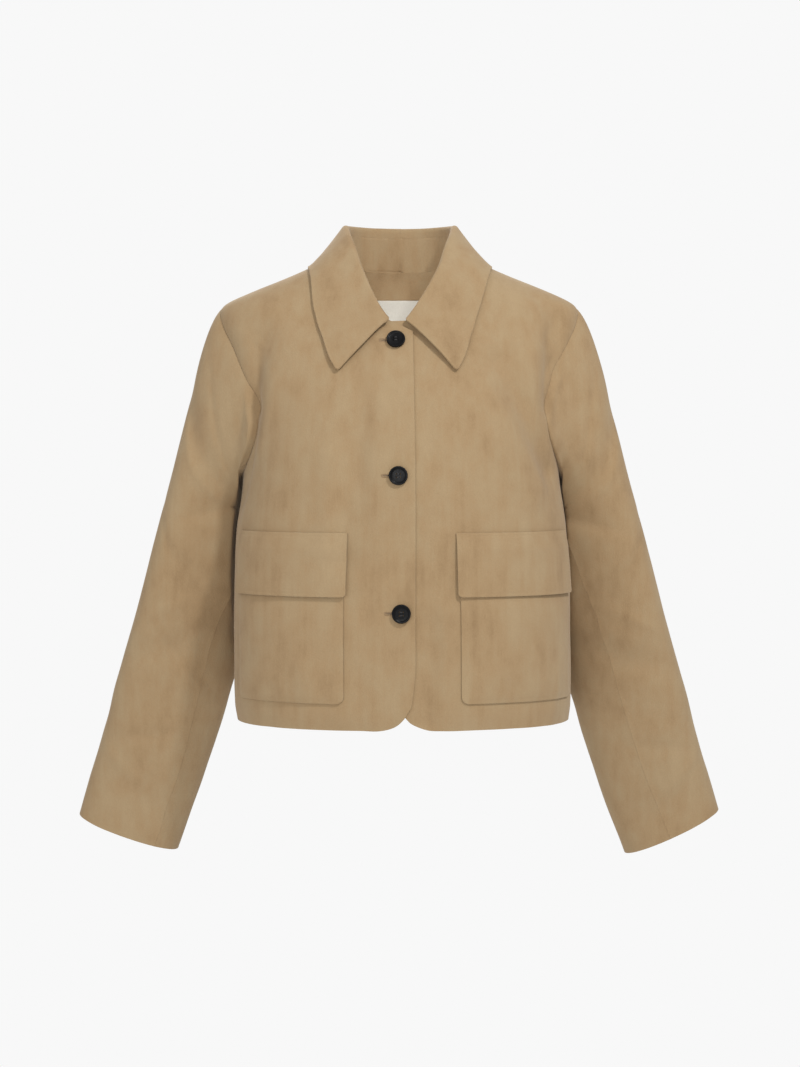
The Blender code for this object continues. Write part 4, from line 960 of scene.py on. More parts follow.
class Paint(Nodes):
    """A new material and its nodes."""

    def __init__(self, name: str) -> None:
        """Start the material.

        Args:
            name: Its name.
        """
        self.material = bpy.data.materials.new(name)
        self.material.use_nodes = True
        super().__init__(self.material.node_tree)
        self.place = self.put("ShaderNodeTexCoord").outputs["Object"]

    def shade(self, inputs: dict) -> Material:
        """Feed the shader and give the material."""
        self.feed(self.tree.nodes["Principled BSDF"], inputs)
        return self.material

    def noise(self, grain: Grain, place: Socket | None = None) -> Socket:
        """Noise over a place, or over the object's own coordinates.

        Args:
            grain: The pattern.
            place: Socket with other coordinates.

        Returns:
            Socket with a value about one half.
        """
        drawn = self.put("ShaderNodeMapping", {"Scale": grain.stretch, "Vector": place or self.place})
        inputs = {"Scale": grain.scale, "Detail": grain.detail, "Roughness": grain.rough}
        inputs["Vector"] = drawn.outputs["Vector"]
        return self.put("ShaderNodeTexNoise", inputs).outputs["Fac"]

    def math(self, operation: str, one: Socket, other: Socket | float) -> Socket:
        """One arithmetic step on a value."""
        return self.put("ShaderNodeMath", {0: one, 1: other}, operation=operation).outputs[0]

    def weigh(self, values: Sequence[Socket], weights: Sequence[float]) -> Socket:
        """Weighted sum of values.

        Args:
            values: Values to add up.
            weights: Weight of each value.

        Returns:
            Socket with the sum.
        """
        parts = [self.math("MULTIPLY", value, weight) for value, weight in zip(values, weights)]
        total = parts[0]
        for part in parts[1:]:
            total = self.math("ADD", total, part)
        return total

    def spread(self, value: Socket, low: float, high: float) -> Socket:
        """Value drawn from its middle range to low ... high."""
        ends = {"From Min": NOISE_MIDDLE[0], "From Max": NOISE_MIDDLE[1], "To Min": low, "To Max": high}
        return self.put("ShaderNodeMapRange", {**ends, "Value": value}).outputs["Result"]

    def ramp(self, value: Socket, *stops: tuple[float, Colour]) -> Socket:
        """Colours by value.

        Args:
            value: Value to read.
            *stops: Positions and their colours.

        Returns:
            Socket with the colour.
        """
        node = self.put("ShaderNodeValToRGB", {"Fac": value})
        elements = node.color_ramp.elements
        while len(elements) < len(stops):
            elements.new(0.5)
        for element, (position, colour) in zip(elements, stops):
            element.position = position
            element.color = (*colour, 1.0)
        return node.outputs["Color"]

    def bump(self, height: Socket, distance: float, strength: float) -> Socket:
        """Normal with a fine relief."""
        inputs = {"Distance": distance, "Strength": strength, "Height": height}
        return self.put("ShaderNodeBump", inputs).outputs["Normal"]


@dataclass(frozen=True)
class Suede:
    """Napped suede: mottled, brushed in soft streaks, with a light bloom at grazing angles."""

    warm: Colour = (0.336, 0.227, 0.121)
    cool: Colour = (0.352, 0.251, 0.141)
    deep: Colour = (0.272, 0.176, 0.089)
    pale: Colour = (0.376, 0.272, 0.156)
    # Scale on every colour; above one it gives a lighter copy of the suede, which is painted light.
    shade: float = 1.0
    stops: tuple[float, ...] = (0.34, 0.46, 0.55, 0.66)
    patches: Grain = Grain(11.0, 3.0, 0.5, (1.0, 1.0, 0.55))
    mottle: Grain = Grain(48.0, 4.0, 0.55, (1.0, 1.0, 0.7))
    brushed: Grain = Grain(95.0, 4.0, 0.6, (1.0, 1.0, 0.09))
    nap: Grain = Grain(900.0, 3.0, 0.65, (1.0, 1.0, 0.45))
    speckle: Grain = Grain(1600.0, 2.0, 0.5)
    speckle_range: tuple[float, float] = (0.93, 1.07)
    tone_weights: tuple[float, ...] = (0.36, 0.30, 0.24, 0.10)
    relief_weights: tuple[float, ...] = (0.45, 0.30, 0.25)
    relief: tuple[float, float] = (0.0011, 0.55)
    roughness: tuple[float, float] = (0.84, 0.97)
    bloom: float = 0.22
    bloom_roughness: float = 0.55
    bloom_tint: tuple[float, ...] = (0.95, 0.86, 0.74, 1.0)
    gloss: float = 0.12

    def material(self, name: str) -> Material:
        """Node material of the suede.

        Args:
            name: Its name.

        Returns:
            The material.
        """
        paint = Paint(name)
        grains = (self.patches, self.mottle, self.brushed, self.nap)
        patches, mottle, brushed, nap = (paint.noise(grain) for grain in grains)
        tone = paint.weigh((patches, mottle, brushed, nap), self.tone_weights)
        colours = (self.deep, self.warm, self.cool, self.pale)
        shades = [tuple(part * self.shade for part in colour) for colour in colours]
        base = paint.ramp(tone, *zip(self.stops, shades))
        speckle = paint.spread(paint.noise(self.speckle), *self.speckle_range)
        dusted = paint.put("ShaderNodeVectorMath", {0: base, "Scale": speckle}, operation="SCALE")
        height = paint.weigh((nap, mottle, brushed), self.relief_weights)
        return paint.shade({
            "Base Color": dusted.outputs["Vector"], "Roughness": paint.spread(mottle, *self.roughness),
            "Normal": paint.bump(height, *self.relief), "Sheen Weight": self.bloom,
            "Sheen Roughness": self.bloom_roughness, "Sheen Tint": self.bloom_tint,
            "Specular IOR Level": self.gloss,
        })


@dataclass(frozen=True)
class LabelWeave:
    """Fine plain weave of the blank neck label."""

    light: Colour = (0.83, 0.81, 0.735)
    dark: Colour = (0.66, 0.63, 0.545)
    thread: float = 0.00042
    slub: Grain = Grain(900.0, 3.0, 0.6, (1.0, 0.3, 1.0))
    weave_share: float = 0.6
    stops: tuple[float, float] = (0.2, 0.7)
    relief: tuple[float, float] = (0.00025, 0.6)
    roughness: float = 0.72

    def material(self, name: str) -> Material:
        """Node material of the label.

        Args:
            name: Its name.

        Returns:
            The material.
        """
        paint = Paint(name)
        flat = paint.put("ShaderNodeUVMap", uv_map="cut").outputs["UV"]
        inputs = {"Scale": 2.0 / self.thread / math.tau, "Vector": flat}
        waves = [paint.put("ShaderNodeTexWave", inputs, bands_direction=axis) for axis in "XY"]
        weave = paint.weigh([wave.outputs["Fac"] for wave in waves], (0.5, 0.5))
        slub = paint.noise(self.slub, flat)
        tone = paint.weigh((weave, slub), (self.weave_share, 1.0 - self.weave_share))
        base = paint.ramp(tone, *zip(self.stops, (self.dark, self.light)))
        normal = paint.bump(tone, *self.relief)
        return paint.shade({"Base Color": base, "Normal": normal, "Roughness": self.roughness})


@dataclass(frozen=True)
class ButtonPlastic:
    """Polished dark plastic with the faintest cloudiness."""

    colour: Colour = (0.0022, 0.0022, 0.0028)
    cloud: Colour = (0.0050, 0.0049, 0.0053)
    swirl: Grain = Grain(260.0, 4.0, 0.6, (1.0, 1.0, 0.4))
    haze: Grain = Grain(1400.0, 2.0, 0.5)
    stops: tuple[float, float] = (0.35, 0.7)
    relief: tuple[float, float] = (0.00006, 0.35)
    roughness: tuple[float, float] = (0.30, 0.42)
    gloss: float = 0.13

    def material(self, name: str) -> Material:
        """Node material of the buttons.

        Args:
            name: Its name.

        Returns:
            The material.
        """
        paint = Paint(name)
        swirl = paint.noise(self.swirl)
        return paint.shade({
            "Base Color": paint.ramp(swirl, *zip(self.stops, (self.colour, self.cloud))),
            "Roughness": paint.spread(swirl, *self.roughness), "Specular IOR Level": self.gloss,
            "Normal": paint.bump(paint.noise(self.haze), *self.relief),
        })


@dataclass(frozen=True)
class Thread:
    """Twisted sewing thread."""

    colour: Colour = (0.25, 0.163, 0.090)
    lift: float = 1.35
    ply: Grain = Grain(2600.0, 2.0, 0.5)
    stops: tuple[float, float] = (0.35, 0.65)
    relief: tuple[float, float] = (0.0001, 0.5)
    roughness: float = 0.62

    def material(self, name: str) -> Material:
        """Node material of the thread.

        Args:
            name: Its name.

        Returns:
            The material.
        """
        paint = Paint(name)
        ply = paint.noise(self.ply)
        light = tuple(min(part * self.lift, 1.0) for part in self.colour)
        base = paint.ramp(ply, *zip(self.stops, (self.colour, light)))
        normal = paint.bump(ply, *self.relief)
        return paint.shade({"Base Color": base, "Normal": normal, "Roughness": self.roughness})


@dataclass(frozen=True)
class StudioPaper:
    """Pale paper on the studio's floor."""

    colour: Colour = (0.83, 0.83, 0.83)
    drop: float = 0.99
    fibre: Grain = Grain(40.0, 3.0, 0.5)
    roughness: float = 0.95

    def material(self, name: str) -> Material:
        """Node material of the paper.

        Args:
            name: Its name.

        Returns:
            The material.
        """
        paint = Paint(name)
        low = tuple(part * self.drop for part in self.colour)
        base = paint.ramp(paint.noise(self.fibre), *zip(NOISE_MIDDLE, (low, self.colour)))
        return paint.shade({"Base Color": base, "Roughness": self.roughness, "Specular IOR Level": 0.0})


@dataclass(frozen=True)
class Finishes:
    """Every finish of the jacket, made once."""

    suede: Material
    lining_side: Material
    label: Material
    button: Material
    suede_thread: Material
    button_thread: Material

    @classmethod
    def make(cls) -> Finishes:
        """Build the node materials.

        Returns:
            The finishes.
        """
        return cls(
            suede=Suede().material("suede_nap"),
            # The neck facing is the same suede painted lighter: painted light for the inside of the
            # neck, which lies in shade.
            lining_side=Suede(shade=1.12).material("suede_facing_lit_copy"),
            label=LabelWeave().material("label_weave_finish"),
            button=ButtonPlastic().material("button_plastic"),
            suede_thread=Thread().material("thread_brown"),
            # Black thread of the buttons, also worn by the buttonhole slits as painted shade.
            button_thread=Thread(colour=(0.016, 0.015, 0.016)).material("thread_black_and_slit_shade"),
        )


# --------------------------------------------------------------------- flat cuts
class Hold(Enum):
    """How a sheet is carried."""

    HUNG = "hung"
    FOLDED = "folded"
    LAID = "laid"


def line_lengths(points: Array, axis: int) -> Array:
    """Length of each line of a grid that runs along an axis."""
    return np.linalg.norm(np.diff(points, axis=axis), axis=-1).sum(axis=axis)


def cover(node: str, wall: Wall, finish: Material,
          length: float | None = None) -> None:
    """Put a sheet in place of the solid it covers and log the size of its flat cut.

    Args:
        node: The solid's node.
        wall: The sheet.
        finish: Its material.
        length: Length of the cut, where it is not the grid's longest line.
    """
    piece = new_piece(f"{node}_shell", wall.mesh(node), finish, Shade.CREASED)
    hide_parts(node)
    points = wall.points
    width = float(line_lengths(points, 1).max())
    length = length or float(line_lengths(points, 0).max())
    edge_a = points[1:, :-1] - points[:-1, :-1]
    edge_b = points[:-1, 1:] - points[:-1, :-1]
    area = float(np.linalg.norm(np.cross(edge_a, edge_b), axis=-1).sum())
    area = max(min(area, width * length), LEAST_FILL * width * length)
    LOG.info("%s cut: %.0f x %.0f mm, %.0f cm2", piece.name, width * 1e3, length * 1e3, area * 1e4)


# --------------------------------------------------------------------- body panels
@dataclass
class Panel:
    """A body panel as a close grid of places; side -1 laps over the other front."""

    places: Array
    side: int
    sewn: tuple[Side, ...]
    spacing: tuple[float, float] = (0.0033, 0.0030)
    groove: float = 0.0004
    groove_reach: float = 0.0030

    def __post_init__(self) -> None:
        """Lay the places on the creased body, with a soft dip beside the sewn edges."""
        angle, height = self.places[..., 0], self.places[..., 1]
        dip = self.groove * bell(from_edges(angle.shape, self.sewn, self.spacing), self.groove_reach)
        self.points = skin(angle, height, lap_over(self.side, form_point(angle, height)) - dip)
        self.normals = form_normal(angle, height)

    def rise(self) -> float:
        """Length along the form, straight up from the hem to the neck point.

        Returns:
            The length.
        """
        angle, height = self.places[-1, self.places[-1, :, 1].argmax()]
        line = form_point(angle, np.linspace(self.places[..., 1].min(), height, RISE_POINTS))
        return float(line_lengths(line, 0))


def run_shares(points: Sequence[Sequence[float]]) -> Array:
    """Share of the whole run at each point of a line."""
    runs = np.linalg.norm(np.diff(points, axis=0), axis=-1).cumsum()
    return np.concatenate([[0.0], runs / runs[-1]])


def armhole_edge(edge: Sequence[Place], sign: int) -> Array:
    """Coarse places up one side of the armhole, half a seam inside it at both ends.

    Args:
        edge: Places up the armhole.
        sign: Way in to the panel's middle, by angle.

    Returns:
        The places.
    """
    share = np.array(steps(0.0, 1.0, ARMHOLE_STEPS))
    keys = run_shares([(math.radians(place.angle) * ARMHOLE_SCALE, place.height) for place in edge])
    angle, height = (curve(keys, column, share) for column in zip(*edge))
    blend = smooth_step((share - SHOULDER_BLEND) / (1.0 - SHOULDER_BLEND))
    near_end = 1.0 - smooth_step(share / ARMHOLE_END)
    near_end = near_end + smooth_step((share - 1.0 + ARMHOLE_END) / ARMHOLE_END)
    return np.stack([angle + sign * mix(SEAM_ANGLE, SHOULDER_SEAM_ANGLE, blend) * near_end, height], -1)


def neck_and_shoulder(neck_angles: Sequence[float], seam_angle: float) -> Array:
    """Coarse places along the neckline, then out along the shoulder seam.

    Args:
        neck_angles: Angles along the neckline.
        seam_angle: Angle of the shoulder seam.

    Returns:
        The places.
    """
    angles = [*neck_angles, seam_angle]
    neck = NECK.at(angles, "height")
    shoulder = steps(neck[-1], SHOULDER_TIP_HEIGHT, SHOULDER_STEPS)[1:]
    return np.array([*zip(angles, neck), *((seam_angle, height) for height in shoulder)])


def filled_patch(bottom: Array, top: Array, left: Array, right: Array) -> Array:
    """Grid of places inside four edges; the neck's shape fades fast below it.

    Args:
        bottom: Lowest row.
        top: Highest row.
        left: First column.
        right: Last column.

    Returns:
        The grid.
    """
    u = ((bottom[:, 0] - bottom[0, 0]) / (bottom[-1, 0] - bottom[0, 0]))[None, :, None]
    v = np.linspace(0.0, 1.0, len(left))[:, None, None]
    low, high = mix(bottom[0], bottom[-1], u), mix(top[0], top[-1], u)
    value = mix(low, high, v) + (bottom - low) * (1.0 - v) ** ROW_FADE + (top - high) * v**NECK_FADE
    first = left[:, None] - mix(bottom[0], top[0], v)
    last = right[:, None] - mix(bottom[-1], top[-1], v)
    return value + first * (1.0 - u) + last * u


def corner_place(share: Array) -> tuple[Array, Array]:
    """Rounding between a front edge and the hem: inset from the edge, and height.

    Args:
        share: Share of the way round the corner.

    Returns:
        Insets and heights.
    """
    handle, end = 2.0 * share * (1.0 - share), share**2
    inset = handle * LAP_CORNER_HANDLE + end * LAP_CORNER_REACH
    return inset, (1.0 - share) ** 2 * LAP_CORNER_HEIGHT + (handle + end) * HEM_HEIGHT


def corner_at(value: float, given: int) -> float:
    """Height of the rounding at an inset (given 0), or its inset at a height (given 1).

    Args:
        value: The inset or the height.
        given: 0 for an inset, 1 for a height.

    Returns:
        The height or the inset.
    """
    shares = np.linspace(0.0, 1.0, CORNER_POINTS)
    values = corner_place(shares)[given]
    order = 1 if values[-1] > values[0] else -1
    return float(corner_place(np.interp(value * order, values * order, shares))[1 - given])


def front_edge_x(side: int, height: float) -> float:
    """Where a front ends near the middle of the body.

    Args:
        side: -1 for the wearer's right, 1 for the left.
        height: Height on the front edge.

    Returns:
        Its place across the body.
    """
    if side < 0:
        return float(EDGE.at(height, "lap_edge"))
    return float(EDGE.at(height, "button_line")) - UNDERLAP_WIDTH


def front_places(side: int) -> tuple[Array, int]:
    """Coarse places of one front, and the column of its shoulder corner.

    Args:
        side: -1 for the wearer's right front, which laps on top.

    Returns:
        The grid of signed places and the column at which the neck meets the shoulder.
    """
    angles = [LAP_ANGLE, *RIGHT_FRONT_ANGLES] if side < 0 else LEFT_FRONT_ANGLES
    seam_end = SIDE_SEAM_ANGLE - SEAM_ANGLE

    def edge_place(height: float) -> tuple[float, float]:
        """Place on the front edge at a height."""
        x = front_edge_x(side, height) + side * corner_at(height, 1)
        return side * float(angle_across(x, height)), height

    def hem_inset(angle: float) -> float:
        """How far a place on the hem lies from the front edge."""
        return abs(float(form_point(side * angle, HEM_HEIGHT)[0]) - front_edge_x(side, HEM_HEIGHT))

    hem = [(angle, corner_at(hem_inset(angle), 0)) for angle in angles]
    lower = [[edge_place(corner_at(0.5 * hem_inset(angles[0]), 0)), *hem, (seam_end, HEM_HEIGHT)]]
    for height in ROWS_BELOW_ARMHOLE[1:]:
        lower.append([edge_place(height), *((a, height) for a in angles), (seam_end, height)])
    neck_angles = [edge_place(NECK_EDGE_HEIGHT)[0]]
    if side < 0:
        neck_angles.append(0.5 * (neck_angles[0] + FRONT_NECK_ANGLES[0]))
    neck_angles += FRONT_NECK_ANGLES
    top = neck_and_shoulder(neck_angles, 90.0 - SHOULDER_SEAM_ANGLE)
    if side < 0:
        top[:2, 1] -= LAP_NECK_DROPS
    left = np.array([edge_place(height) for height in steps(UNDERARM_HEIGHT, top[0][1], ARMHOLE_STEPS)])
    left[-1] = top[0]
    upper = filled_patch(np.array(lower[-1]), top, left, armhole_edge(FRONT_ARMHOLE, -1))
    return np.concatenate([np.array(lower[:-1]), upper]) * (side, 1), len(neck_angles)


def back_places() -> Array:
    """Coarse places of the back, from the wearer's left side seam to the right one.

    Returns:
        The grid of places.
    """
    angles, shoulder = (*BACK_ANGLES, SIDE_SEAM_ANGLE + SEAM_ANGLE), 90.0 + SHOULDER_SEAM_ANGLE
    lower = np.array([[(angle, height) for angle in angles] for height in ROWS_BELOW_ARMHOLE])
    top = neck_and_shoulder(steps(180.0, shoulder, BACK_NECK_STEPS)[:-1], shoulder)
    centre = np.array([(180.0, height) for height in steps(UNDERARM_HEIGHT, top[0][1], ARMHOLE_STEPS)])
    upper = filled_patch(lower[-1], top, centre, armhole_edge(BACK_ARMHOLE, 1))
    half = np.concatenate([lower[:-1], upper])
    return np.concatenate([half[:, ::-1], (360.0, 0.0) + half[:, 1:] * (-1, 1)], axis=1)


def close_grid(places: Array, column_breaks: Sequence[int]) -> Array:
    """Places on a grid FINER times as close along both axes."""
    rows = refine(places, [len(ROWS_BELOW_ARMHOLE) - 1])
    return refine(rows.transpose(1, 0, 2), column_breaks).transpose(1, 0, 2)


@dataclass
class Body:
    """Two fronts and the back."""

    finishes: Finishes
    fronts: dict[int, Panel] = field(default_factory=dict)

    def build(self) -> None:
        """Make the three panels, put them in place of their solids and log their cuts."""
        for side, word in WORDS.items():
            places, corner = front_places(side)
            self.fronts[side] = Panel(close_grid(places, [corner]), side, (Side.LAST,))
            self.dress(f"front_{word}", self.fronts[side])
        half = len(BACK_ANGLES)
        breaks = [SHOULDER_STEPS, half, 2 * half - SHOULDER_STEPS]
        self.back = Panel(close_grid(back_places(), breaks), 1, (Side.FIRST, Side.LAST))
        self.dress("back", self.back)

    def dress(self, node: str, panel: Panel) -> None:
        """Put a panel's shell in place of its solid."""
        wall = Wall(panel.points, panel.normals, WALL)
        cover(node, wall, self.finishes.suede, length=panel.rise())


# ------------------------------------------------------------------------- sleeves
def closed_row(ahead: Array, behind: Array) -> Array:
    """Row once round from two open ones, halfway between them where they meet.

    Args:
        ahead: Row by the front.
        behind: Row by the back.

    Returns:
        The closed row.
    """
    row = np.concatenate([ahead, behind[1:-1]])
    row[0], row[len(ahead) - 1] = 0.5 * (ahead[0] + behind[-1]), 0.5 * (ahead[-1] + behind[0])
    return row


@dataclass
class Ring:
    """The armhole as a closed row of points, from the shoulder tip by the front."""

    points: Array
    normals: Array

    @classmethod
    def of(cls, front: Panel, back: Panel, side: int) -> Ring:
        """Ring through the two panels' armhole edges.

        Args:
            front: The front.
            back: The back.
            side: -1 for the wearer's right, 1 for the left.

        Returns:
            The ring.
        """
        rows = slice(-1, -2 - ARMHOLE_STEPS * FINER, -1)
        column = 0 if side > 0 else -1
        points = closed_row(front.points[rows, -1], back.points[rows, column][::-1])
        return cls(points, unit(closed_row(front.normals[rows, -1], back.normals[rows, column][::-1])))

    def at(self, angle: Array) -> tuple[Array, Array]:
        """Points and normals at 0 (shoulder tip) to 360 degrees.

        Args:
            angle: Degrees round the armhole.

        Returns:
            The points and the normals.
        """
        count = len(self.points)
        position = (angle % 360.0) / 360.0 * count
        low = position.astype(int) % count
        high = (low + 1) % count
        share = (position - np.floor(position))[..., None]
        normal = mix(self.normals[low], self.normals[high], share)
        return mix(self.points[low], self.points[high], share), unit(normal)

    def start(self, angle: Array) -> tuple[Array, Array, Array]:
        """Where the sleeve starts, the panel's normal there and the way off its edge.

        Args:
            angle: Degrees round the armhole.

        Returns:
            Points, normals and directions.
        """
        point, normal = self.at(angle)
        run = self.at(angle + RING_STEP / 2)[0] - self.at(angle - RING_STEP / 2)[0]
        off = unit(np.cross(run, normal))
        off = np.where(dot(off, self.points.mean(axis=0) - point) < 0, -off, off)
        return point + off * ARMHOLE_SEAM, normal, off


@dataclass
class Sleeve:
    """A whole sleeve as a surface: share 0 at the armhole, 1 at the cuff."""

    side: int
    ring: Ring
    finishes: Finishes
    row_count: int = 170
    columns_per_step: int = 7
    spacing: tuple[float, float] = (0.0034, 0.0030)
    seam_gap: tuple[float, float] = (0.22, 0.075)
    seam_ridge: float = 0.0004
    ridge_reach: float = 0.0025
    least_clearance: float = 0.0015
    clear_start: float = 0.08
    clear_blend: float = 0.12
    gap_share: float = 0.5
    ridge_start: float = 0.05
    hang_start: float = 0.4
    run_step: float = 0.01
    cap_clear: float = 0.4
    cap_start: float = 0.15
    fold_start: float = 0.12
    lattice_scale: tuple[float, float, float] = (1.3, 9.0, 4.0)
    normal_span: float = 0.015
    normal_turn: float = 14.0
    normal_blend: float = 0.057

    def __post_init__(self) -> None:
        """Measure the run of the sleeve's centre line."""
        self.shares = run_shares([row[:3] for row in SLEEVE_SECTIONS])
        self.flip = np.array([self.side, 1.0, 1.0])

    def value(self, share: Array, name: str) -> Array:
        """One column of the section table at a share of the lower sleeve."""
        return curve(self.shares, [getattr(row, name) for row in SLEEVE_SECTIONS], share)

    def centre(self, share: Array) -> Array:
        """Centre line of the lower sleeve, on the left side."""
        return np.stack([self.value(share, name) for name in ("centre_x", "centre_y", "height")], -1)

    def cleared(self, points: Array, clearance: Array | float, softness: Array | float) -> Array:
        """Points of this side moved clear of the body."""
        return clear_of_body(points * self.flip, clearance, softness) * self.flip

    def lower_point(self, share: Array, angle_degrees: Array) -> Array:
        """Points below the biceps.

        Args:
            share: Share of the way below the biceps.
            angle_degrees: Degrees round the sleeve.

        Returns:
            The points.
        """
        angle = np.radians(angle_degrees - SLEEVE_TWIST * (1.0 - smooth_step(share)))
        after, before = np.minimum(share + self.run_step, 1.0), np.maximum(share - self.run_step, 0.0)
        along = unit(self.centre(after) - self.centre(before))
        turn = np.radians(self.value(share, "turn"))
        hang = smooth_step((share - self.hang_start) / (1.0 - self.hang_start))
        slant = np.radians(self.value(share, "slant") + self.side * CUFF_SLANT_OFFSET * hang)
        level = np.cos(slant)
        outward = np.stack([np.cos(turn) * level, -np.sin(turn) * level, np.sin(slant)], -1)
        forward = unit(np.cross(along, outward))
        radius = section_radius(angle, SLEEVE_FULLNESS)
        point = self.centre(share)
        point = point + outward * (self.value(share, "half_width") * radius * np.cos(angle))[..., None]
        point = point + forward * (self.value(share, "half_depth") * radius * np.sin(angle))[..., None]
        return clear_of_body(point, SLEEVE_CLEARANCE, CLEAR_SOFTNESS) * self.flip

    def cap_point(self, share: Array, angle: Array) -> Array:
        """Sleeve head: a curve from the armhole to the top of the lower sleeve.

        Args:
            share: Share of the way from armhole to biceps.
            angle: Degrees round the sleeve.

        Returns:
            The points.
        """
        start = self.ring.start(angle)[0]
        end = self.lower_point(np.zeros_like(angle), angle)
        gap = np.linalg.norm(end - start, axis=-1, keepdims=True)
        end_run = unit(self.lower_point(np.full_like(angle, self.run_step), angle) - end) * gap
        spread = mix(CAP_UNDERARM_SPREAD, 1.0, np.cos(np.radians(0.5 * angle)) ** 2)
        flare = [self.side * CAP_OUTWARD * spread, 0.0 * spread, np.full_like(spread, -CAP_DOWNWARD)]
        start_run = np.stack(flare, -1) * np.minimum(1.0, gap / CAP_FULL_GAP)
        point = cubic(start, end - start, start_run, end_run, share[..., None])
        reach = smooth_step(share / self.cap_clear)
        cleared = self.cleared(point, SLEEVE_CLEARANCE * reach, CLEAR_SOFTNESS * np.maximum(reach, 0.1))
        return mix(point, cleared, smooth_step(share[..., None] / self.cap_start))

    def point(self, share: Array, angle: Array) -> Array:
        """Points of the sleeve's outer side.

        Args:
            share: Share of the sleeve's length.
            angle: Degrees round the sleeve.

        Returns:
            The points.
        """
        share, angle = paired(share, angle)
        below = (share - CAP_SHARE) / (1.0 - CAP_SHARE)
        lower = self.lower_point(np.maximum(below, 0.0), angle)
        cap = self.cap_point(np.clip(share / CAP_SHARE, 0.0, 1.0), angle)
        whole = np.where((below >= 0.0)[..., None], lower, cap)
        whole = whole + self.fold_push(share, np.maximum(below, 0.0), angle)
        reach = smooth_step((share - self.clear_start) / self.clear_blend)
        cleared = self.cleared(whole, self.least_clearance * reach, self.least_clearance)
        return mix(whole, cleared, reach[..., None])

    def fold_push(self, share: Array, below: Array, angle_degrees: Array) -> Array:
        """Folds and small waves that press the sleeve in towards its centre line.

        Args:
            share: Share of the sleeve's length.
            below: Share of the way below the biceps.
            angle_degrees: Degrees round the sleeve.

        Returns:
            How far each point moves.
        """
        angle = np.radians(angle_degrees)
        round_scale, along_scale, apart = self.lattice_scale
        across, deep = np.cos(angle) * round_scale, np.sin(angle) * round_scale
        lattice = np.stack([across, deep, share * along_scale + apart * self.side], -1)
        total = ripple(lattice, SLEEVE_WAVES)
        for fold in (*SLEEVE_FOLDS, *SLEEVE_CREASES, *SLEEVE_FILLS):
            around = wrapped(angle_degrees - fold.angle)
            along = share - fold.share - fold.slope * np.radians(around) - self.side * FOLD_STAGGER
            total = total + fold.depth * bell(along, fold.width) * bell(around, fold.reach)
        turn = np.radians(self.value(below, "turn"))
        outward = np.stack([np.cos(turn), -np.sin(turn), 0.0 * turn], -1)
        forward = np.stack([-np.sin(turn), -np.cos(turn), 0.0 * turn], -1)
        way = outward * np.cos(angle)[..., None] + forward * np.sin(angle)[..., None]
        return way * self.flip * (total * smooth_step(share / self.fold_start))[..., None]

    def normal(self, share: Array, angle: Array) -> Array:
        """Outward normals over a wide patch, bent towards the panels at the armhole.

        Args:
            share: Share of the sleeve's length.
            angle: Degrees round the sleeve.

        Returns:
            The normals.
        """
        span, turn = self.normal_span, self.normal_turn
        after, before = np.minimum(share + span, 1.0), np.maximum(share - span, 0.0)
        along = self.point(after, angle) - self.point(before, angle)
        around = self.point(share, angle + turn) - self.point(share, angle - turn)
        plain = unit(np.cross(around, along)) * self.side
        _, panel, off = self.ring.start(angle)
        shared = panel + plain
        shared = unit(shared - off * np.maximum(dot(shared, off), 0.0))
        return unit(mix(shared, plain, smooth_step(share[..., None] / self.normal_blend)))

    def build(self) -> None:
        """Add the top and the under sleeve."""
        seams = Profile(SLEEVE_SEAMS)
        share = np.linspace(0.0, 1.0, self.row_count + 1)[:, None]
        gap = mix(*self.seam_gap, smooth_step(share / self.gap_share))
        front, back = seams.at(share, f"front_{WORDS[self.side]}"), seams.at(share, "back")
        self.dress("top", share, back - 360.0 + gap, front - gap)
        self.dress("under", share, front + gap, back - gap)

    def dress(self, part: str, share: Array, first: Array, last: Array) -> None:
        """Add one half of the sleeve between two seams.

        Args:
            part: Which half, for its name.
            share: Shares of its rows.
            first: Angle of its first column by row.
            last: Angle of its last column by row.
        """
        columns = round(abs(last[0, 0] - first[0, 0]) / RING_STEP) * self.columns_per_step
        share, angle = paired(share, mix(first, last, np.linspace(0.0, 1.0, columns + 1)))
        points, normals = self.point(share, angle), self.normal(share, angle)
        near = bell(from_edges(angle.shape, (Side.FIRST, Side.LAST), self.spacing), self.ridge_reach)
        ridge = self.seam_ridge * near * smooth_step(share / self.ridge_start)
        points = points + normals * ridge[..., None]
        wall = Wall(points, normals, WALL)
        cover(f"sleeve_{WORDS[self.side]}_{part}", wall, self.finishes.suede)


# -------------------------------------------------------------------------- collar
NEXT_STATION = COLLAR_STATIONS[-2]
PAST_BACK = NEXT_STATION._replace(neck_angle=200.0, fold_x=-NEXT_STATION.fold_x, edge_angle=201.0)
COLLAR = Profile((*COLLAR_STATIONS, PAST_BACK))


def collar_shift(height: Array) -> Array:
    """Sideways lean of the collar's front."""
    share = (COLLAR_SHIFT_START - height) / (COLLAR_SHIFT_START - COLLAR_SHIFT_END)
    return COLLAR_SHIFT * smooth_step(share)


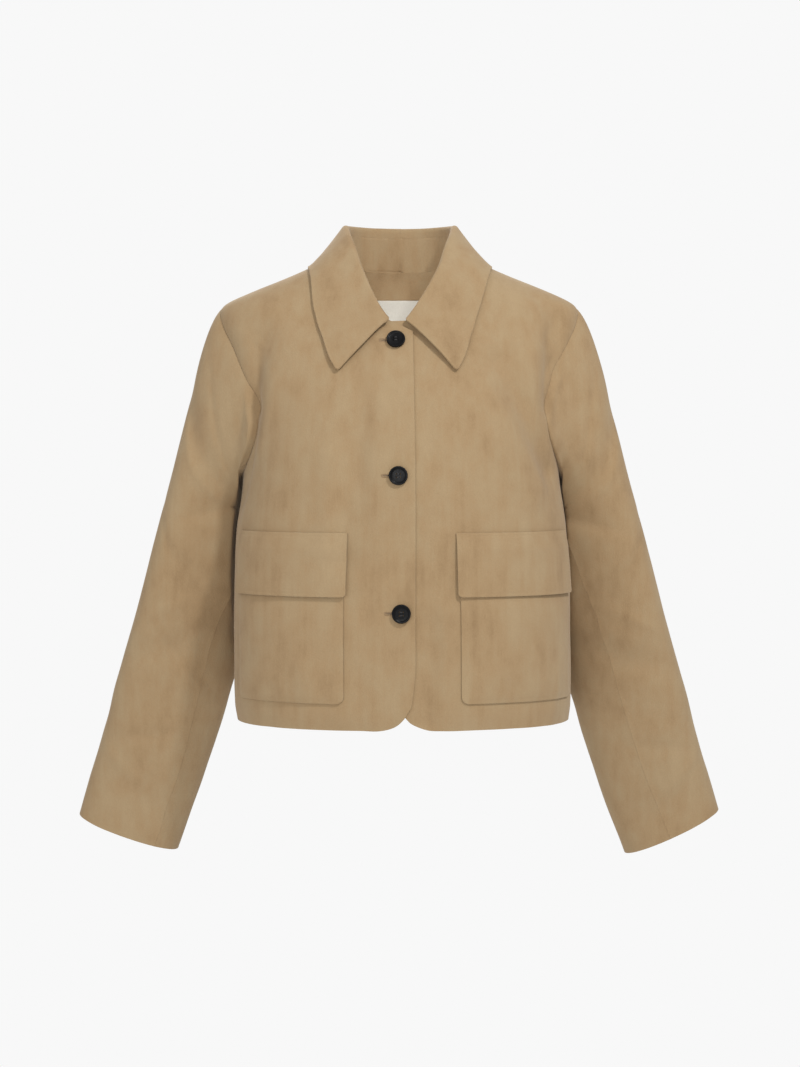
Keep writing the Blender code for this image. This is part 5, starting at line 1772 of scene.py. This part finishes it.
@dataclass
class Collar:
    """Stand and turned-down leaf, worked out strip by strip round the neck."""

    finishes: Finishes
    tip_radius: float = 0.0045
    settle: float = 0.0017
    roll_steps: int = 14
    leaf_rows: int = 44
    stand_rows: int = 14
    settling_rounds: int = 4
    facing_start: float = 92.0
    facing_blend: float = 20.0
    leaf_probe: float = 0.2
    straight_steps: tuple[float, ...] = (0.0, 0.35, 0.7)
    wave_start: float = 0.4
    edge_round: float = 0.7

    def __post_init__(self) -> None:
        """Place the strips round the neckline."""
        half = []
        for (key, count), (after, _) in zip(STRIP_COUNTS, STRIP_COUNTS[1:]):
            half += steps(key, after, count)[:-1]
        turns = np.array([*half, 180.0])
        self.angle = np.concatenate([-turns, turns[::-1][1:]])
        self.side = np.where(self.angle >= 0.0, 1.0, -1.0)
        self.around = np.abs(self.angle)
        self.neck_height = NECK.at(self.around, "height")
        base = form_point(self.angle, self.neck_height)
        self.neck = skin(self.angle, self.neck_height, lap_over(self.side, base))
        self.fold = COLLAR.all(self.around, "fold_x", "fold_y", "fold_z")
        self.fold[:, 0] = self.side * self.fold[:, 0] + collar_shift(self.fold[:, 2])
        self.fold[:, 1] -= lap_over(self.side, self.neck)
        self.roll = COLLAR.at(self.around, "roll")[:, None]
        self.rise = unit(self.fold - self.neck)
        towards = self.on_form(1.0) - self.fold
        self.away = unit(towards - self.rise * dot(towards, self.rise))
        self.centre = self.fold - self.rise * self.roll
        faced = smooth_step((self.around - self.facing_start) / self.facing_blend)
        inside = WALL + (SEAM + FACING_WALL) * faced
        normal = form_normal(self.angle, self.neck_height)
        self.seat = self.neck + self.rise * NECK_SEAM - normal * inside[:, None]
        self.inner_top = self.centre - self.away * self.roll

    def on_form(self, share: float) -> Array:
        """Points off the body on the way from the neck seam to the leaf's edge.

        Args:
            share: Share of the way along.

        Returns:
            The points.
        """
        angle = self.side * mix(self.around, COLLAR.at(self.around, "edge_angle"), share)
        height = mix(self.neck_height, COLLAR.at(self.around, "edge_z"), share)
        point = form_point(angle, height)
        lift = COLLAR.at(self.around, "standoff") + lap_over(self.side, point)
        lift = lift - self.settle * smooth_step((share - 0.5) / 0.5)
        point = point + form_normal(angle, height) * lift[:, None]
        point[:, 0] += collar_shift(height) * share
        return point

    def on_roll(self, turn: Array) -> Array:
        """Points round the fold."""
        turn = np.reshape(turn, (-1, 1))
        return self.centre + (self.rise * np.sin(turn) - self.away * np.cos(turn)) * self.roll

    def on_leaf(self, share: float, roll_end: Array) -> Array:
        """Points on the leaf, which leaves the fold and settles on to the body."""
        return self.on_form(share) + (roll_end - self.on_form(0.0)) * (1.0 - share) ** LEAF_SETTLING

    def stand(self) -> Array:
        """Strips of the stand."""
        end = mix(self.seat, self.inner_top, STAND_SHARE)
        return np.stack([mix(self.seat, end, share) for share in steps(0.0, 1.0, self.stand_rows)], 1)

    def fall(self) -> Array:
        """Strips of the leaf, from the top of the stand over the fold to its edge.

        Returns:
            The grid of points.
        """
        first = mix(self.seat, self.inner_top, STAND_SHARE) + unit(self.inner_top - self.seat) * SEAM
        last = np.full(len(self.angle), FIRST_ROLL)
        for _ in range(self.settling_rounds):
            roll_end = self.on_roll(last)
            run = self.on_leaf(self.leaf_probe, roll_end) - roll_end
            last = np.arctan2(dot(run, self.away)[:, 0], dot(run, self.rise)[:, 0]) % math.tau
        path = [mix(first, self.on_roll(0.0 * last), share) for share in self.straight_steps]
        path += [self.on_roll(last * share) for share in steps(0.0, 1.0, self.roll_steps)]
        path += [self.on_leaf(share, roll_end) for share in steps(0.0, 1.0, self.leaf_rows)[1:]]
        return np.stack(path, 1)

    def build(self) -> None:
        """Add the stand and the leaf."""
        stand = self.stand()
        self.dress("collar_stand", stand, np.broadcast_to(-self.away[:, None], stand.shape))
        leaf = self.waved(self.round_tips(self.fall()))
        normals = self.grid_normals(leaf)
        normals[:, :2] = -self.away[:, None]
        self.dress("collar_fall", leaf, normals)

    def round_tips(self, grid: Array) -> Array:
        """Draw the two front corners of the leaf in to a small round.

        Args:
            grid: Grid of points.

        Returns:
            The rounded grid.
        """
        along = np.linalg.norm(np.diff(grid[:, -1], axis=0, prepend=grid[:1, -1]), axis=-1).cumsum()
        across = np.linalg.norm(np.diff(grid, axis=1, prepend=grid[:, :1]), axis=-1).cumsum(axis=1)
        result, radius = grid.copy(), self.tip_radius
        for way, ends in ((1, along), (-1, (along[-1] - along)[::-1])):
            body, target = grid[::way], result[::way]
            for i in range(np.searchsorted(ends, radius)):
                run = across[::way][i]
                down = run[-1] - run
                for j in np.nonzero(down < radius)[0]:
                    u, v = round_corner(1.0 - ends[i] / radius, 1.0 - down[j] / radius)
                    row = float(np.interp((1.0 - u) * radius, ends, np.arange(len(ends))))
                    column = float(np.interp(run[-1] - (1.0 - v) * radius, run, np.arange(len(run))))
                    target[i, j] = between(body, row, column)
        return result

    def waved(self, grid: Array) -> Array:
        """Small unevenness of the leaf, none at the fold.

        Args:
            grid: Grid of points.

        Returns:
            The uneven grid.
        """
        down = np.linspace(0.0, 1.0, grid.shape[1])[None, :]
        wave = ripple(grid, LEAF_WAVES) * smooth_step((down - self.wave_start) / self.wave_start)
        return grid + self.grid_normals(grid) * wave[..., None]

    @staticmethod
    def grid_normals(grid: Array) -> Array:
        """Normals of a grid, out on the napped side."""
        return unit(np.cross(np.gradient(grid, axis=0), np.gradient(grid, axis=1)))

    def dress(self, node: str, points: Array, normals: Array) -> None:
        """Add one part of the collar in place of its solid."""
        wall = Wall(points, normals, COLLAR_WALL, edge_round=self.edge_round)
        cover(node, wall, self.finishes.suede)


def round_corner(u: Array, v: Array) -> tuple[Array, Array]:
    """Place in a unit square drawn in to the quarter round inside it."""
    return u * np.sqrt(1.0 - 0.5 * v * v), v * np.sqrt(1.0 - 0.5 * u * u)


def between(grid: Array, row: float, column: float) -> Array:
    """Point of a grid at a place between its rows and columns.

    Args:
        grid: Grid of points.
        row: Place along the rows.
        column: Place along the columns.

    Returns:
        The point.
    """
    r, c = min(int(row), len(grid) - 2), min(int(column), grid.shape[1] - 2)
    low, high = (mix(line[c], line[c + 1], column - c) for line in grid[r : r + 2])
    return mix(low, high, row - r)


# ------------------------------------------------------------------ pocket and flap
@dataclass
class PatchCut:
    """A patch's places on the front and how it is cut."""

    name: str
    inner: float
    outer: float
    bottom: float
    top: float
    corner: float
    wall: float
    columns: int
    rows: int
    sewn: tuple[Side, ...]

    @property
    def width(self) -> float:
        """Width measured round the front."""
        return math.radians(self.outer - self.inner) * FOLD_SCALE

    @property
    def spacing(self) -> tuple[float, float]:
        """Spacing of the rows and of the columns."""
        return (self.top - self.bottom) / self.rows, self.width / self.columns

    def places(self, side: int) -> Array:
        """Grid of signed places with the two lower corners rounded.

        Args:
            side: -1 for the wearer's right, 1 for the left.

        Returns:
            The grid of places.
        """
        across, up = np.meshgrid(np.linspace(0.0, self.width, self.columns + 1),
                                 np.linspace(0.0, self.top - self.bottom, self.rows + 1))
        for far in (False, True):
            run = self.width - across if far else across
            u = np.clip(1.0 - run / self.corner, 0.0, 1.0)
            v = np.clip(1.0 - up / self.corner, 0.0, 1.0)
            near = (u > 0) & (v > 0)
            new_u, new_v = round_corner(u, v)
            moved = (1.0 - new_u) * self.corner
            across = np.where(near, self.width - moved if far else moved, across)
            up = np.where(near, (1.0 - new_v) * self.corner, up)
        return np.stack([side * (self.inner + np.degrees(across / FOLD_SCALE)), self.bottom + up], -1)


@dataclass
class Pocket:
    """A patch pocket and its flap on one front."""

    side: int
    finishes: Finishes
    pocket_corner: float = 0.0075
    flap_corner: float = 0.0042
    wall_share: float = 0.62
    edge_round: float = 0.30
    line_inset: float = 0.0032
    line_reach: float = 0.0011
    line_depth: float = 0.00030
    edge_reach: float = 0.0012
    edge_depth: float = 0.00035
    grid: tuple[int, int] = (96, 110)
    flap_grid: tuple[int, int] = (104, 56)

    def __post_init__(self) -> None:
        """Find the pocket's outer edge."""
        self.outer = LEFT_POCKET_OUTER_ANGLE if self.side > 0 else RIGHT_POCKET_OUTER_ANGLE

    def pocket_lift(self, angle: Array, height: Array) -> Array:
        """Height of the pocket's face over the panel.

        Args:
            angle: Degrees round from the centre front.
            height: Heights there.

        Returns:
            Heights over the panel.
        """
        middle, half = 0.5 * (POCKET_INNER_ANGLE + self.outer), 0.5 * (self.outer - POCKET_INNER_ANGLE)
        across = np.maximum(1.0 - ((np.abs(angle) - middle) / half) ** 4, 0.0)
        up = (height - POCKET_BOTTOM) / (FLAP_BOTTOM - POCKET_BOTTOM)
        swell = np.maximum(1.0 - (2.0 * np.minimum(up, 1.0) - 1.0) ** 4, 0.0)
        return SEAM + POCKET_WALL + POCKET_BULGE * across * swell

    def flap_lift(self, angle: Array, height: Array) -> Array:
        """Height of the flap's face over the panel.

        Args:
            angle: Degrees round from the centre front.
            height: Heights there.

        Returns:
            Heights over the panel.
        """
        down = (FLAP_TOP - height) / (FLAP_TOP - FLAP_BOTTOM)
        over = np.minimum((FLAP_TOP - height) / (FLAP_TOP - POCKET_TOP), 1.0)
        turn = np.radians(np.abs(angle) * FLAP_WAVES + FLAP_WAVE_START * self.side)
        wave = FLAP_WAVE * np.sin(turn) * down**2
        return SEAM + FLAP_WALL + (POCKET_WALL + SEAM) * over + FLAP_FLARE * down**2 + wave

    def build(self) -> None:
        """Add the pocket and its flap."""
        sewn = (Side.LOW, Side.FIRST, Side.LAST)
        inner, outer = POCKET_INNER_ANGLE - FLAP_OVERHANG_ANGLE, self.outer + FLAP_OVERHANG_ANGLE
        pocket = PatchCut("pocket", POCKET_INNER_ANGLE, self.outer, POCKET_BOTTOM, POCKET_TOP,
                          self.pocket_corner, POCKET_WALL, *self.grid, sewn)
        flap = PatchCut("flap", inner, outer, FLAP_BOTTOM, FLAP_TOP,
                        self.flap_corner, FLAP_WALL, *self.flap_grid, (*sewn, Side.HIGH))
        self.dress(pocket, self.pocket_lift)
        self.dress(flap, self.flap_lift)

    def dress(self, cut: PatchCut, lift: Callable[[Array, Array], Array]) -> None:
        """Lay one patch on the front, with the line that its stitching presses in.

        Args:
            cut: The patch.
            lift: Height of its face over the panel by place.
        """
        places = cut.places(self.side)
        angle, height = places[..., 0], places[..., 1]
        near = from_edges(angle.shape, cut.sewn, cut.spacing)
        line = self.line_depth * bell(near - self.line_inset, self.line_reach)
        line = line + self.edge_depth * bell(near, self.edge_reach)
        move = lift(angle, height) - line + lap_over(self.side, form_point(angle, height))
        wall = Wall(skin(angle, height, move), form_normal(angle, height), self.wall_share * cut.wall,
                    edge_round=self.edge_round)
        word = WORDS[self.side]
        cover(f"{cut.name}_{word}", wall, self.finishes.suede)


# ------------------------------------------------------------------ inside the neck
@dataclass
class NeckInside:
    """Facing inside the back of the neck, and the blank label on it."""

    back: Panel
    finishes: Finishes
    facing_rows: int = 4
    label_rows: int = 40
    label_columns: int = 56
    label_round: float = 0.6

    def build(self) -> None:
        """Add the facing and the label."""
        middle, reach = len(BACK_ANGLES) * FINER, (BACK_NECK_STEPS - 1) * FINER
        rows = slice(-1 - self.facing_rows * FINER, None)
        columns = slice(middle - reach, middle + reach + 1)
        normals = self.back.normals[rows, columns]
        points = self.back.points[rows, columns] - normals * (WALL + SEAM)
        facing = Wall(points, normals, FACING_WALL)
        # The facing wears the lighter copy of the suede: painted light inside the neck.
        cover("back_neck_facing", facing, self.finishes.lining_side)
        x = np.linspace(-LABEL_HALF_WIDTH, LABEL_HALF_WIDTH, self.label_columns + 1)
        height = np.linspace(LABEL_TOP - LABEL_DEPTH, LABEL_TOP, self.label_rows + 1)
        x, height = np.meshgrid(x, height)
        angle = 180.0 - angle_across(x + TORSO.at(height, "sideways"), height)
        points = skin(angle, height, -(WALL + SEAM) - FACING_WALL - SEAM)
        normals, uv = form_normal(angle, height), np.stack([x, height], -1)
        label = Wall(points, normals, LABEL_WALL, uv, self.label_round)
        cover("neck_label", label, self.finishes.label)


# ------------------------------------------------------------- buttons and stitches
def round_of(count: int) -> list[float]:
    """Evenly spaced angles once round."""
    return [math.tau * i / count for i in range(count)]


@dataclass(frozen=True)
class ButtonSize:
    """Sizes of one button."""

    radius: float = 0.0100
    thickness: float = 0.0032
    dish: float = 0.0009
    rim: float = 0.0018
    edge_round: float = 0.0008
    slope: tuple = ((0.0002, 1 / 9), (-0.0002, 1 / 3), (-0.0006, 7 / 9), (-0.0012, 1.0), (-0.0030, 1.0))
    hole_radius: float = 0.0010
    hole_spacing: float = 0.0034
    hole_sides: int = 20
    sides: int = 72
    strand_radius: float = 0.00026
    strand_offset: float = 0.00042
    strand_sides: int = 8
    bar_points: int = 15
    bar_lift: float = 0.0004
    bar_dive: float = 0.0012
    dive_start: float = 0.8

    def outline(self) -> list[tuple[float, float]]:
        """Radius and height from the back's edge up over the rim to the dish.

        Returns:
            The outline's places.
        """
        turn, core, top = self.edge_round, self.radius - self.edge_round, self.thickness
        low = [(core + turn * math.sin(a), turn - turn * math.cos(a)) for a in np.linspace(0, 1.57, 6)]
        base = top - turn
        high = [(core + turn * math.cos(a), base + turn * math.sin(a)) for a in np.linspace(0, 1.57, 8)]
        slope = [(self.radius - self.rim + out, top - down * self.dish) for out, down in self.slope]
        return low + high + slope


@dataclass
class Button:
    """A four-hole button and its thread."""

    node: str
    height: float
    finishes: Finishes
    size: ButtonSize = ButtonSize()
    seat: float = 2.2

    def frame(self) -> Matrix:
        """Placing of the button: its face along the body's normal.

        Returns:
            The placing.
        """
        x = float(EDGE.at(self.height, "button_line"))
        angle = float(angle_across(x, self.height))
        normal = Vector(form_normal(angle, self.height).tolist())
        move = float(fold_sum(np.array(angle), np.array(self.height), LARGE_FOLDS))
        lift = normal * (move + float(lap_lift(x)) + self.seat * SEAM)
        turn = Vector((0.0, 0.0, 1.0)).rotation_difference(normal).to_matrix().to_4x4()
        return Matrix.Translation(Vector(form_point(angle, self.height).tolist()) + lift) @ turn

    def build(self) -> None:
        """Add the button and the thread in its holes."""
        frame = self.frame()
        mesh, thread = self.pierced(self.blank()), self.thread()
        mesh.transform(frame)
        finish, bars = self.finishes.button, self.finishes.button_thread
        piece = new_piece(f"{self.node}_turned", mesh, finish, Shade.CREASED)
        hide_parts(self.node)
        thread.transform(frame)
        new_piece(f"{self.node}_thread", thread, bars, Shade.SMOOTH)

    def blank(self) -> Mesh:
        """The button before its holes are drilled.

        Returns:
            The mesh.
        """
        shape, turns = bmesh.new(), round_of(self.size.sides)
        outline = self.size.outline()
        skinned(shape, [[(r * math.cos(a), r * math.sin(a), z) for a in turns] for r, z in outline])
        mesh = made(shape, self.node)
        face_out(mesh)
        return mesh

    def pierced(self, mesh: Mesh) -> Mesh:
        """Mesh with four holes cut through it.

        Args:
            mesh: The blank.

        Returns:
            The mesh with its holes.
        """
        size, shape = self.size, bmesh.new()
        half, radius, middle = 0.5 * size.hole_spacing, size.hole_radius, 0.5 * size.thickness
        for x in (-half, half):
            for y in (-half, half):
                place = Matrix.Translation((x, y, middle))
                bmesh.ops.create_cone(shape, cap_ends=True, segments=size.hole_sides, radius1=radius,
                                      radius2=radius, depth=size.radius, matrix=place)
        blank, cutter = link("blank", mesh), link("cutter", made(shape, "pins"))
        cut = blank.modifiers.new("holes", "BOOLEAN")
        cut.operation, cut.solver, cut.object = "DIFFERENCE", "EXACT", cutter
        result = plain_copy(blank, self.node)
        for thing in (blank, cutter):
            bpy.data.objects.remove(thing, do_unlink=True)
        return result

    def thread(self) -> Mesh:
        """Two bars of thread across the face, each of three strands.

        Returns:
            The mesh.
        """
        size, half = self.size, 0.5 * self.size.hole_spacing
        top = size.thickness - size.dish + size.bar_lift
        shape = bmesh.new()
        for y in (-half, half):
            for strand in (-1, 0, 1):
                path = []
                for x in np.linspace(-half, half, size.bar_points):
                    out = abs(x / half)
                    dive = size.bar_dive * max(out - size.dive_start, 0) / (1.0 - size.dive_start)
                    path.append((x, y + strand * size.strand_offset * (1.0 - 0.5 * out), top - dive))
                tube(shape, path, size.strand_radius, size.strand_sides)
        mesh = made(shape, f"{self.node}_thread")
        face_out(mesh)
        return mesh


def tube(shape: bmesh.types.BMesh, path: Sequence[Sequence[float]], radius: float, sides: int) -> None:
    """Add a closed round tube along a path to a mesh being built.

    Args:
        shape: Shape that is being built.
        path: Middle line of the tube.
        radius: Its radius.
        sides: Its sides.
    """
    line, rings = [Vector(place) for place in path], []
    for i, here in enumerate(line):
        run = (line[min(i + 1, len(line) - 1)] - line[max(i - 1, 0)]).normalized()
        across = run.cross(Vector((0.0, 0.0, 1.0))).normalized()
        up = across.cross(run)
        turns = round_of(sides)
        rings.append([here + (across * math.cos(a) + up * math.sin(a)) * radius for a in turns])
    skinned(shape, rings)


def plain_copy(thing: Object, name: str) -> Mesh:
    """Plain mesh of an object as its modifiers leave it.

    Args:
        thing: The object.
        name: Its name.

    Returns:
        The mesh.
    """
    mesh = bpy.data.meshes.new_from_object(thing.evaluated_get(bpy.context.evaluated_depsgraph_get()))
    mesh.name = name
    return mesh


@dataclass
class Buttonhole:
    """A slit in the lapping front, whipped all round with close stitches; the opening is a dark band of
    painted shade.
    """

    button: str
    height: float
    finishes: Finishes
    outer_reach: float = 0.0160
    inner_reach: float = 0.0040
    stitch_length: float = 0.0017
    stitch_width: float = 0.00042
    spacing: float = 0.00050
    end_stitches: int = 7
    slit_width: float = 0.0010
    slit_rows: int = 24
    slit_columns: int = 5
    slit_end: float = 0.35
    slit_taper: float = 0.45
    slit_depth: float = 0.0005
    slit_lift: float = 0.00006
    seed: int = 7

    def on_front(self, x: float, z: float, lift: float) -> tuple[Vector, Vector]:
        """Point and normal on the lapping front at x and z.

        Args:
            x: Place across the front.
            z: Its height.
            lift: How far outside the form.

        Returns:
            The point and the normal.
        """
        angle = float(angle_across(x, z))
        point = skin(np.array(angle), np.array(z), float(lap_lift(x)) + lift)
        return Vector(point.tolist()), Vector(form_normal(angle, z).tolist())

    def build(self) -> None:
        """Add the stitches and, between them, a dark band of painted shade for the slit."""
        middle = float(EDGE.at(self.height, "button_line"))
        first, last = middle - self.outer_reach, middle + self.inner_reach
        reach = 0.5 * (self.slit_width + self.stitch_length)
        places = []
        for side in (-1, 1):
            for x in steps(first, last, int((last - first) / self.spacing)):
                places.append((x, self.height + side * reach, 0.5 * math.pi * side))
        for turn in steps(0.5 * math.pi, 1.5 * math.pi, self.end_stitches + 1)[1:-1]:
            places.append((first + math.cos(turn) * reach, self.height + math.sin(turn) * reach, turn))
        StitchRow(f"{self.button}_hole_stitches", self.finishes.suede_thread, self).build(places)
        self.slit(first, last)

    def slit(self, first: float, last: float) -> None:
        """Thin dark band where the slit parts the suede: painted shade of the opening, in the black
        thread's finish.

        Args:
            first: Where the slit starts.
            last: Where it ends.
        """
        rows = []
        for share in steps(0.0, 1.0, self.slit_rows):
            x = mix(first, last, share)
            half = 0.5 * self.slit_width * mix(self.slit_end, 1.0, min(share / self.slit_taper, 1.0))
            heights = self.height + np.linspace(-half, half, self.slit_columns)
            rows.append([list(self.on_front(x, z, self.slit_lift)[0]) for z in heights])
        points = np.array(rows)
        normal = form_normal(float(angle_across(first, self.height)), self.height)
        wall = Wall(points, np.broadcast_to(normal, points.shape), self.slit_depth, edge_round=0.0)
        mesh = wall.mesh(f"{self.button}_slit")
        # A black sheet over the slit stands for its opening: painted shade, not a cut.
        new_piece(f"{self.button}_hole_slit_shade", mesh, self.finishes.button_thread, Shade.SMOOTH)


@dataclass
class StitchRow:
    """Stitches set on places by Geometry Nodes and kept as one plain mesh."""

    name: str
    material: Material
    hole: Buttonhole
    lift: float = 0.0001

    def build(self, places: Sequence[tuple[float, float, float]]) -> None:
        """Set a stitch on each place.

        Args:
            places: x and z on the front, and the stitch's turn round the normal.
        """
        points, turns = [], []
        for x, z, turn in places:
            point, normal = self.hole.on_front(x, z, self.lift)
            side = Vector((1.0, 0.0, 0.0))
            side = (side - normal * side.dot(normal)).normalized()
            run = side * math.cos(turn) + normal.cross(side) * math.sin(turn)
            points.append(tuple(point))
            turns.append(Matrix((run, normal.cross(run), normal)).transposed().to_euler("XYZ"))
        mesh = bpy.data.meshes.new(self.name)
        mesh.from_pydata(points, [], [])
        layer = mesh.attributes.new("turn", "FLOAT_VECTOR", "POINT")
        layer.data.foreach_set("vector", np.array(turns, dtype=np.float32).ravel())
        carrier, tree = link(f"{self.name}_places", mesh), self.tree()
        modifier = carrier.modifiers.new("stitches", "NODES")
        modifier.node_group = tree
        hole = self.hole
        values = {"Length": hole.stitch_length, "Width": hole.stitch_width, "Seed": hole.seed}
        for item in tree.interface.items_tree:
            if item.name in values:
                modifier[item.identifier] = values[item.name]
        result = plain_copy(carrier, self.name)
        bpy.data.objects.remove(carrier, do_unlink=True)
        new_piece(self.name, result, self.material, Shade.SMOOTH)

    def tree(self) -> NodeTree:
        """Node tree that puts one small stitch on each point.

        Returns:
            The tree.
        """
        tree = bpy.data.node_groups.new(f"{self.name}_tree", "GeometryNodeTree")
        inputs = (("Geometry", "Geometry"), ("Length", "Float"), ("Width", "Float"), ("Seed", "Int"))
        for name, kind in inputs:
            tree.interface.new_socket(name, in_out="INPUT", socket_type=f"NodeSocket{kind}")
        tree.interface.new_socket("Geometry", in_out="OUTPUT", socket_type="NodeSocketGeometry")
        nodes = Nodes(tree)
        given = nodes.put("NodeGroupInput").outputs
        ball = nodes.put("GeometryNodeMeshUVSphere", {"Segments": 8, "Rings": 6, "Radius": 0.5})
        sides = {"X": given["Length"], "Y": given["Width"], "Z": given["Width"]}
        size = nodes.put("ShaderNodeCombineXYZ", sides)
        shaped = nodes.put("GeometryNodeTransform",
                           {"Geometry": ball.outputs["Mesh"], "Scale": size.outputs["Vector"]})
        turn = nodes.put("GeometryNodeInputNamedAttribute", {"Name": "turn"}, data_type="FLOAT_VECTOR")
        uneven = nodes.put("FunctionNodeRandomValue", {"Min": 0.88, "Max": 1.08, "Seed": given["Seed"]},
                           data_type="FLOAT")
        placed = nodes.put("GeometryNodeInstanceOnPoints", {
            "Points": given["Geometry"], "Instance": shaped.outputs["Geometry"],
            "Rotation": turn.outputs["Attribute"], "Scale": uneven.outputs[1],
        })
        real = nodes.put("GeometryNodeRealizeInstances", {"Geometry": placed.outputs["Instances"]})
        painted = nodes.put("GeometryNodeSetMaterial",
                            {"Geometry": real.outputs["Geometry"], "Material": self.material})
        nodes.put("NodeGroupOutput", {"Geometry": painted.outputs["Geometry"]})
        return tree


# -------------------------------------------------------------------------- studio
class Lamp(NamedTuple):
    """A square soft light aimed at a point."""

    name: str
    place: Triple
    aim: Triple
    size: float
    power: float


LAMPS = table(Lamp, (
    ("key", (1.15, -1.75, 1.80), (0.0, 0.0, -0.24), 0.26, 43.0),
    ("fill", (-1.5, -2.3, -0.2), (0.0, 0.0, -0.38), 1.6, 11.0),
    ("front", (-0.1, -2.6, 0.1), (0.0, 0.0, -0.20), 0.7, 14.0),
    ("back", (-0.5, 2.3, 1.3), (0.0, 0.0, -0.30), 1.8, 48.0),
    ("neck", (0.0, -0.040, -0.165), (0.0, 0.055, -0.055), 0.05, 0.115),
))


@dataclass
class Studio:
    """Pale floor and surroundings, soft light and the camera."""

    camera_place: Triple = (0.0, -2.5, -0.2035)
    lens: float = 76.7
    sensor: float = 36.0
    shift_y: float = -0.0876
    floor_height: float = -1.6
    floor_radius: float = 1.7
    floor_sides: int = 96
    surround: float = 0.58
    backdrop: float = 0.9387

    def build(self) -> None:
        """Add the stage, the lights and the camera."""
        self.floor()
        for lamp in LAMPS:
            self.light(lamp)
        self.world()
        self.view()

    def floor(self) -> None:
        """Round pale floor below the garment."""
        radius, turns = self.floor_radius, round_of(self.floor_sides)
        rim = [(radius * math.cos(turn), radius * math.sin(turn), self.floor_height) for turn in turns]
        mesh = bpy.data.meshes.new("floor")
        mesh.from_pydata(rim, [], [list(range(len(rim)))])
        mesh.materials.append(StudioPaper().material("studio_paper"))
        floor = link("floor", mesh)

    def light(self, lamp: Lamp) -> None:
        """Add one light.

        Args:
            lamp: The light.
        """
        data = bpy.data.lights.new(lamp.name, "AREA")
        data.shape, data.size, data.energy = "SQUARE", lamp.size, lamp.power
        thing = link(lamp.name, data)
        thing.location = lamp.place
        way = Vector(lamp.aim) - Vector(lamp.place)
        thing.rotation_euler = way.to_track_quat("-Z", "Y").to_euler()
        thing.visible_camera = False

    def world(self) -> None:
        """Even pale surroundings, dimmer as a light than as a backdrop."""
        world = bpy.data.worlds.new("studio")
        world.use_nodes = True
        nodes, white = Nodes(world.node_tree), (1.0, 1.0, 1.0, 1.0)
        glow = nodes.tree.nodes["Background"]
        nodes.feed(glow, {"Color": white, "Strength": self.surround})
        paper = nodes.put("ShaderNodeBackground", {"Color": white, "Strength": self.backdrop})
        seen = nodes.put("ShaderNodeLightPath").outputs["Is Camera Ray"]
        ways = {"Fac": seen, 1: glow.outputs["Background"], 2: paper.outputs["Background"]}
        either = nodes.put("ShaderNodeMixShader", ways)
        nodes.feed(nodes.tree.nodes["World Output"], {"Surface": either.outputs["Shader"]})
        bpy.context.scene.world = world
        bpy.context.scene.view_settings.view_transform = "Standard"

    def view(self) -> None:
        """Add the camera."""
        lens = bpy.data.cameras.new("view")
        lens.lens, lens.shift_y = self.lens, self.shift_y
        lens.sensor_fit, lens.sensor_height, lens.sensor_width = "VERTICAL", self.sensor, self.sensor
        camera = link("view", lens)
        camera.location = self.camera_place
        camera.rotation_euler = (math.radians(90.0), 0.0, 0.0)
        bpy.context.scene.camera = camera


def main() -> None:
    """Build the jacket over its solids."""
    logging.basicConfig(level=logging.INFO, format="%(message)s")
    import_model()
    finishes = Finishes.make()
    body = Body(finishes)
    body.build()
    for side in WORDS:
        Sleeve(side, Ring.of(body.fronts[side], body.back, side), finishes).build()
        Pocket(side, finishes).build()
    Collar(finishes).build()
    NeckInside(body.back, finishes).build()
    for node, height in BUTTON_HEIGHTS.items():
        Button(node, height, finishes).build()
        Buttonhole(node, height, finishes).build()
    Studio().build()


if __name__ == "__main__":
    main()
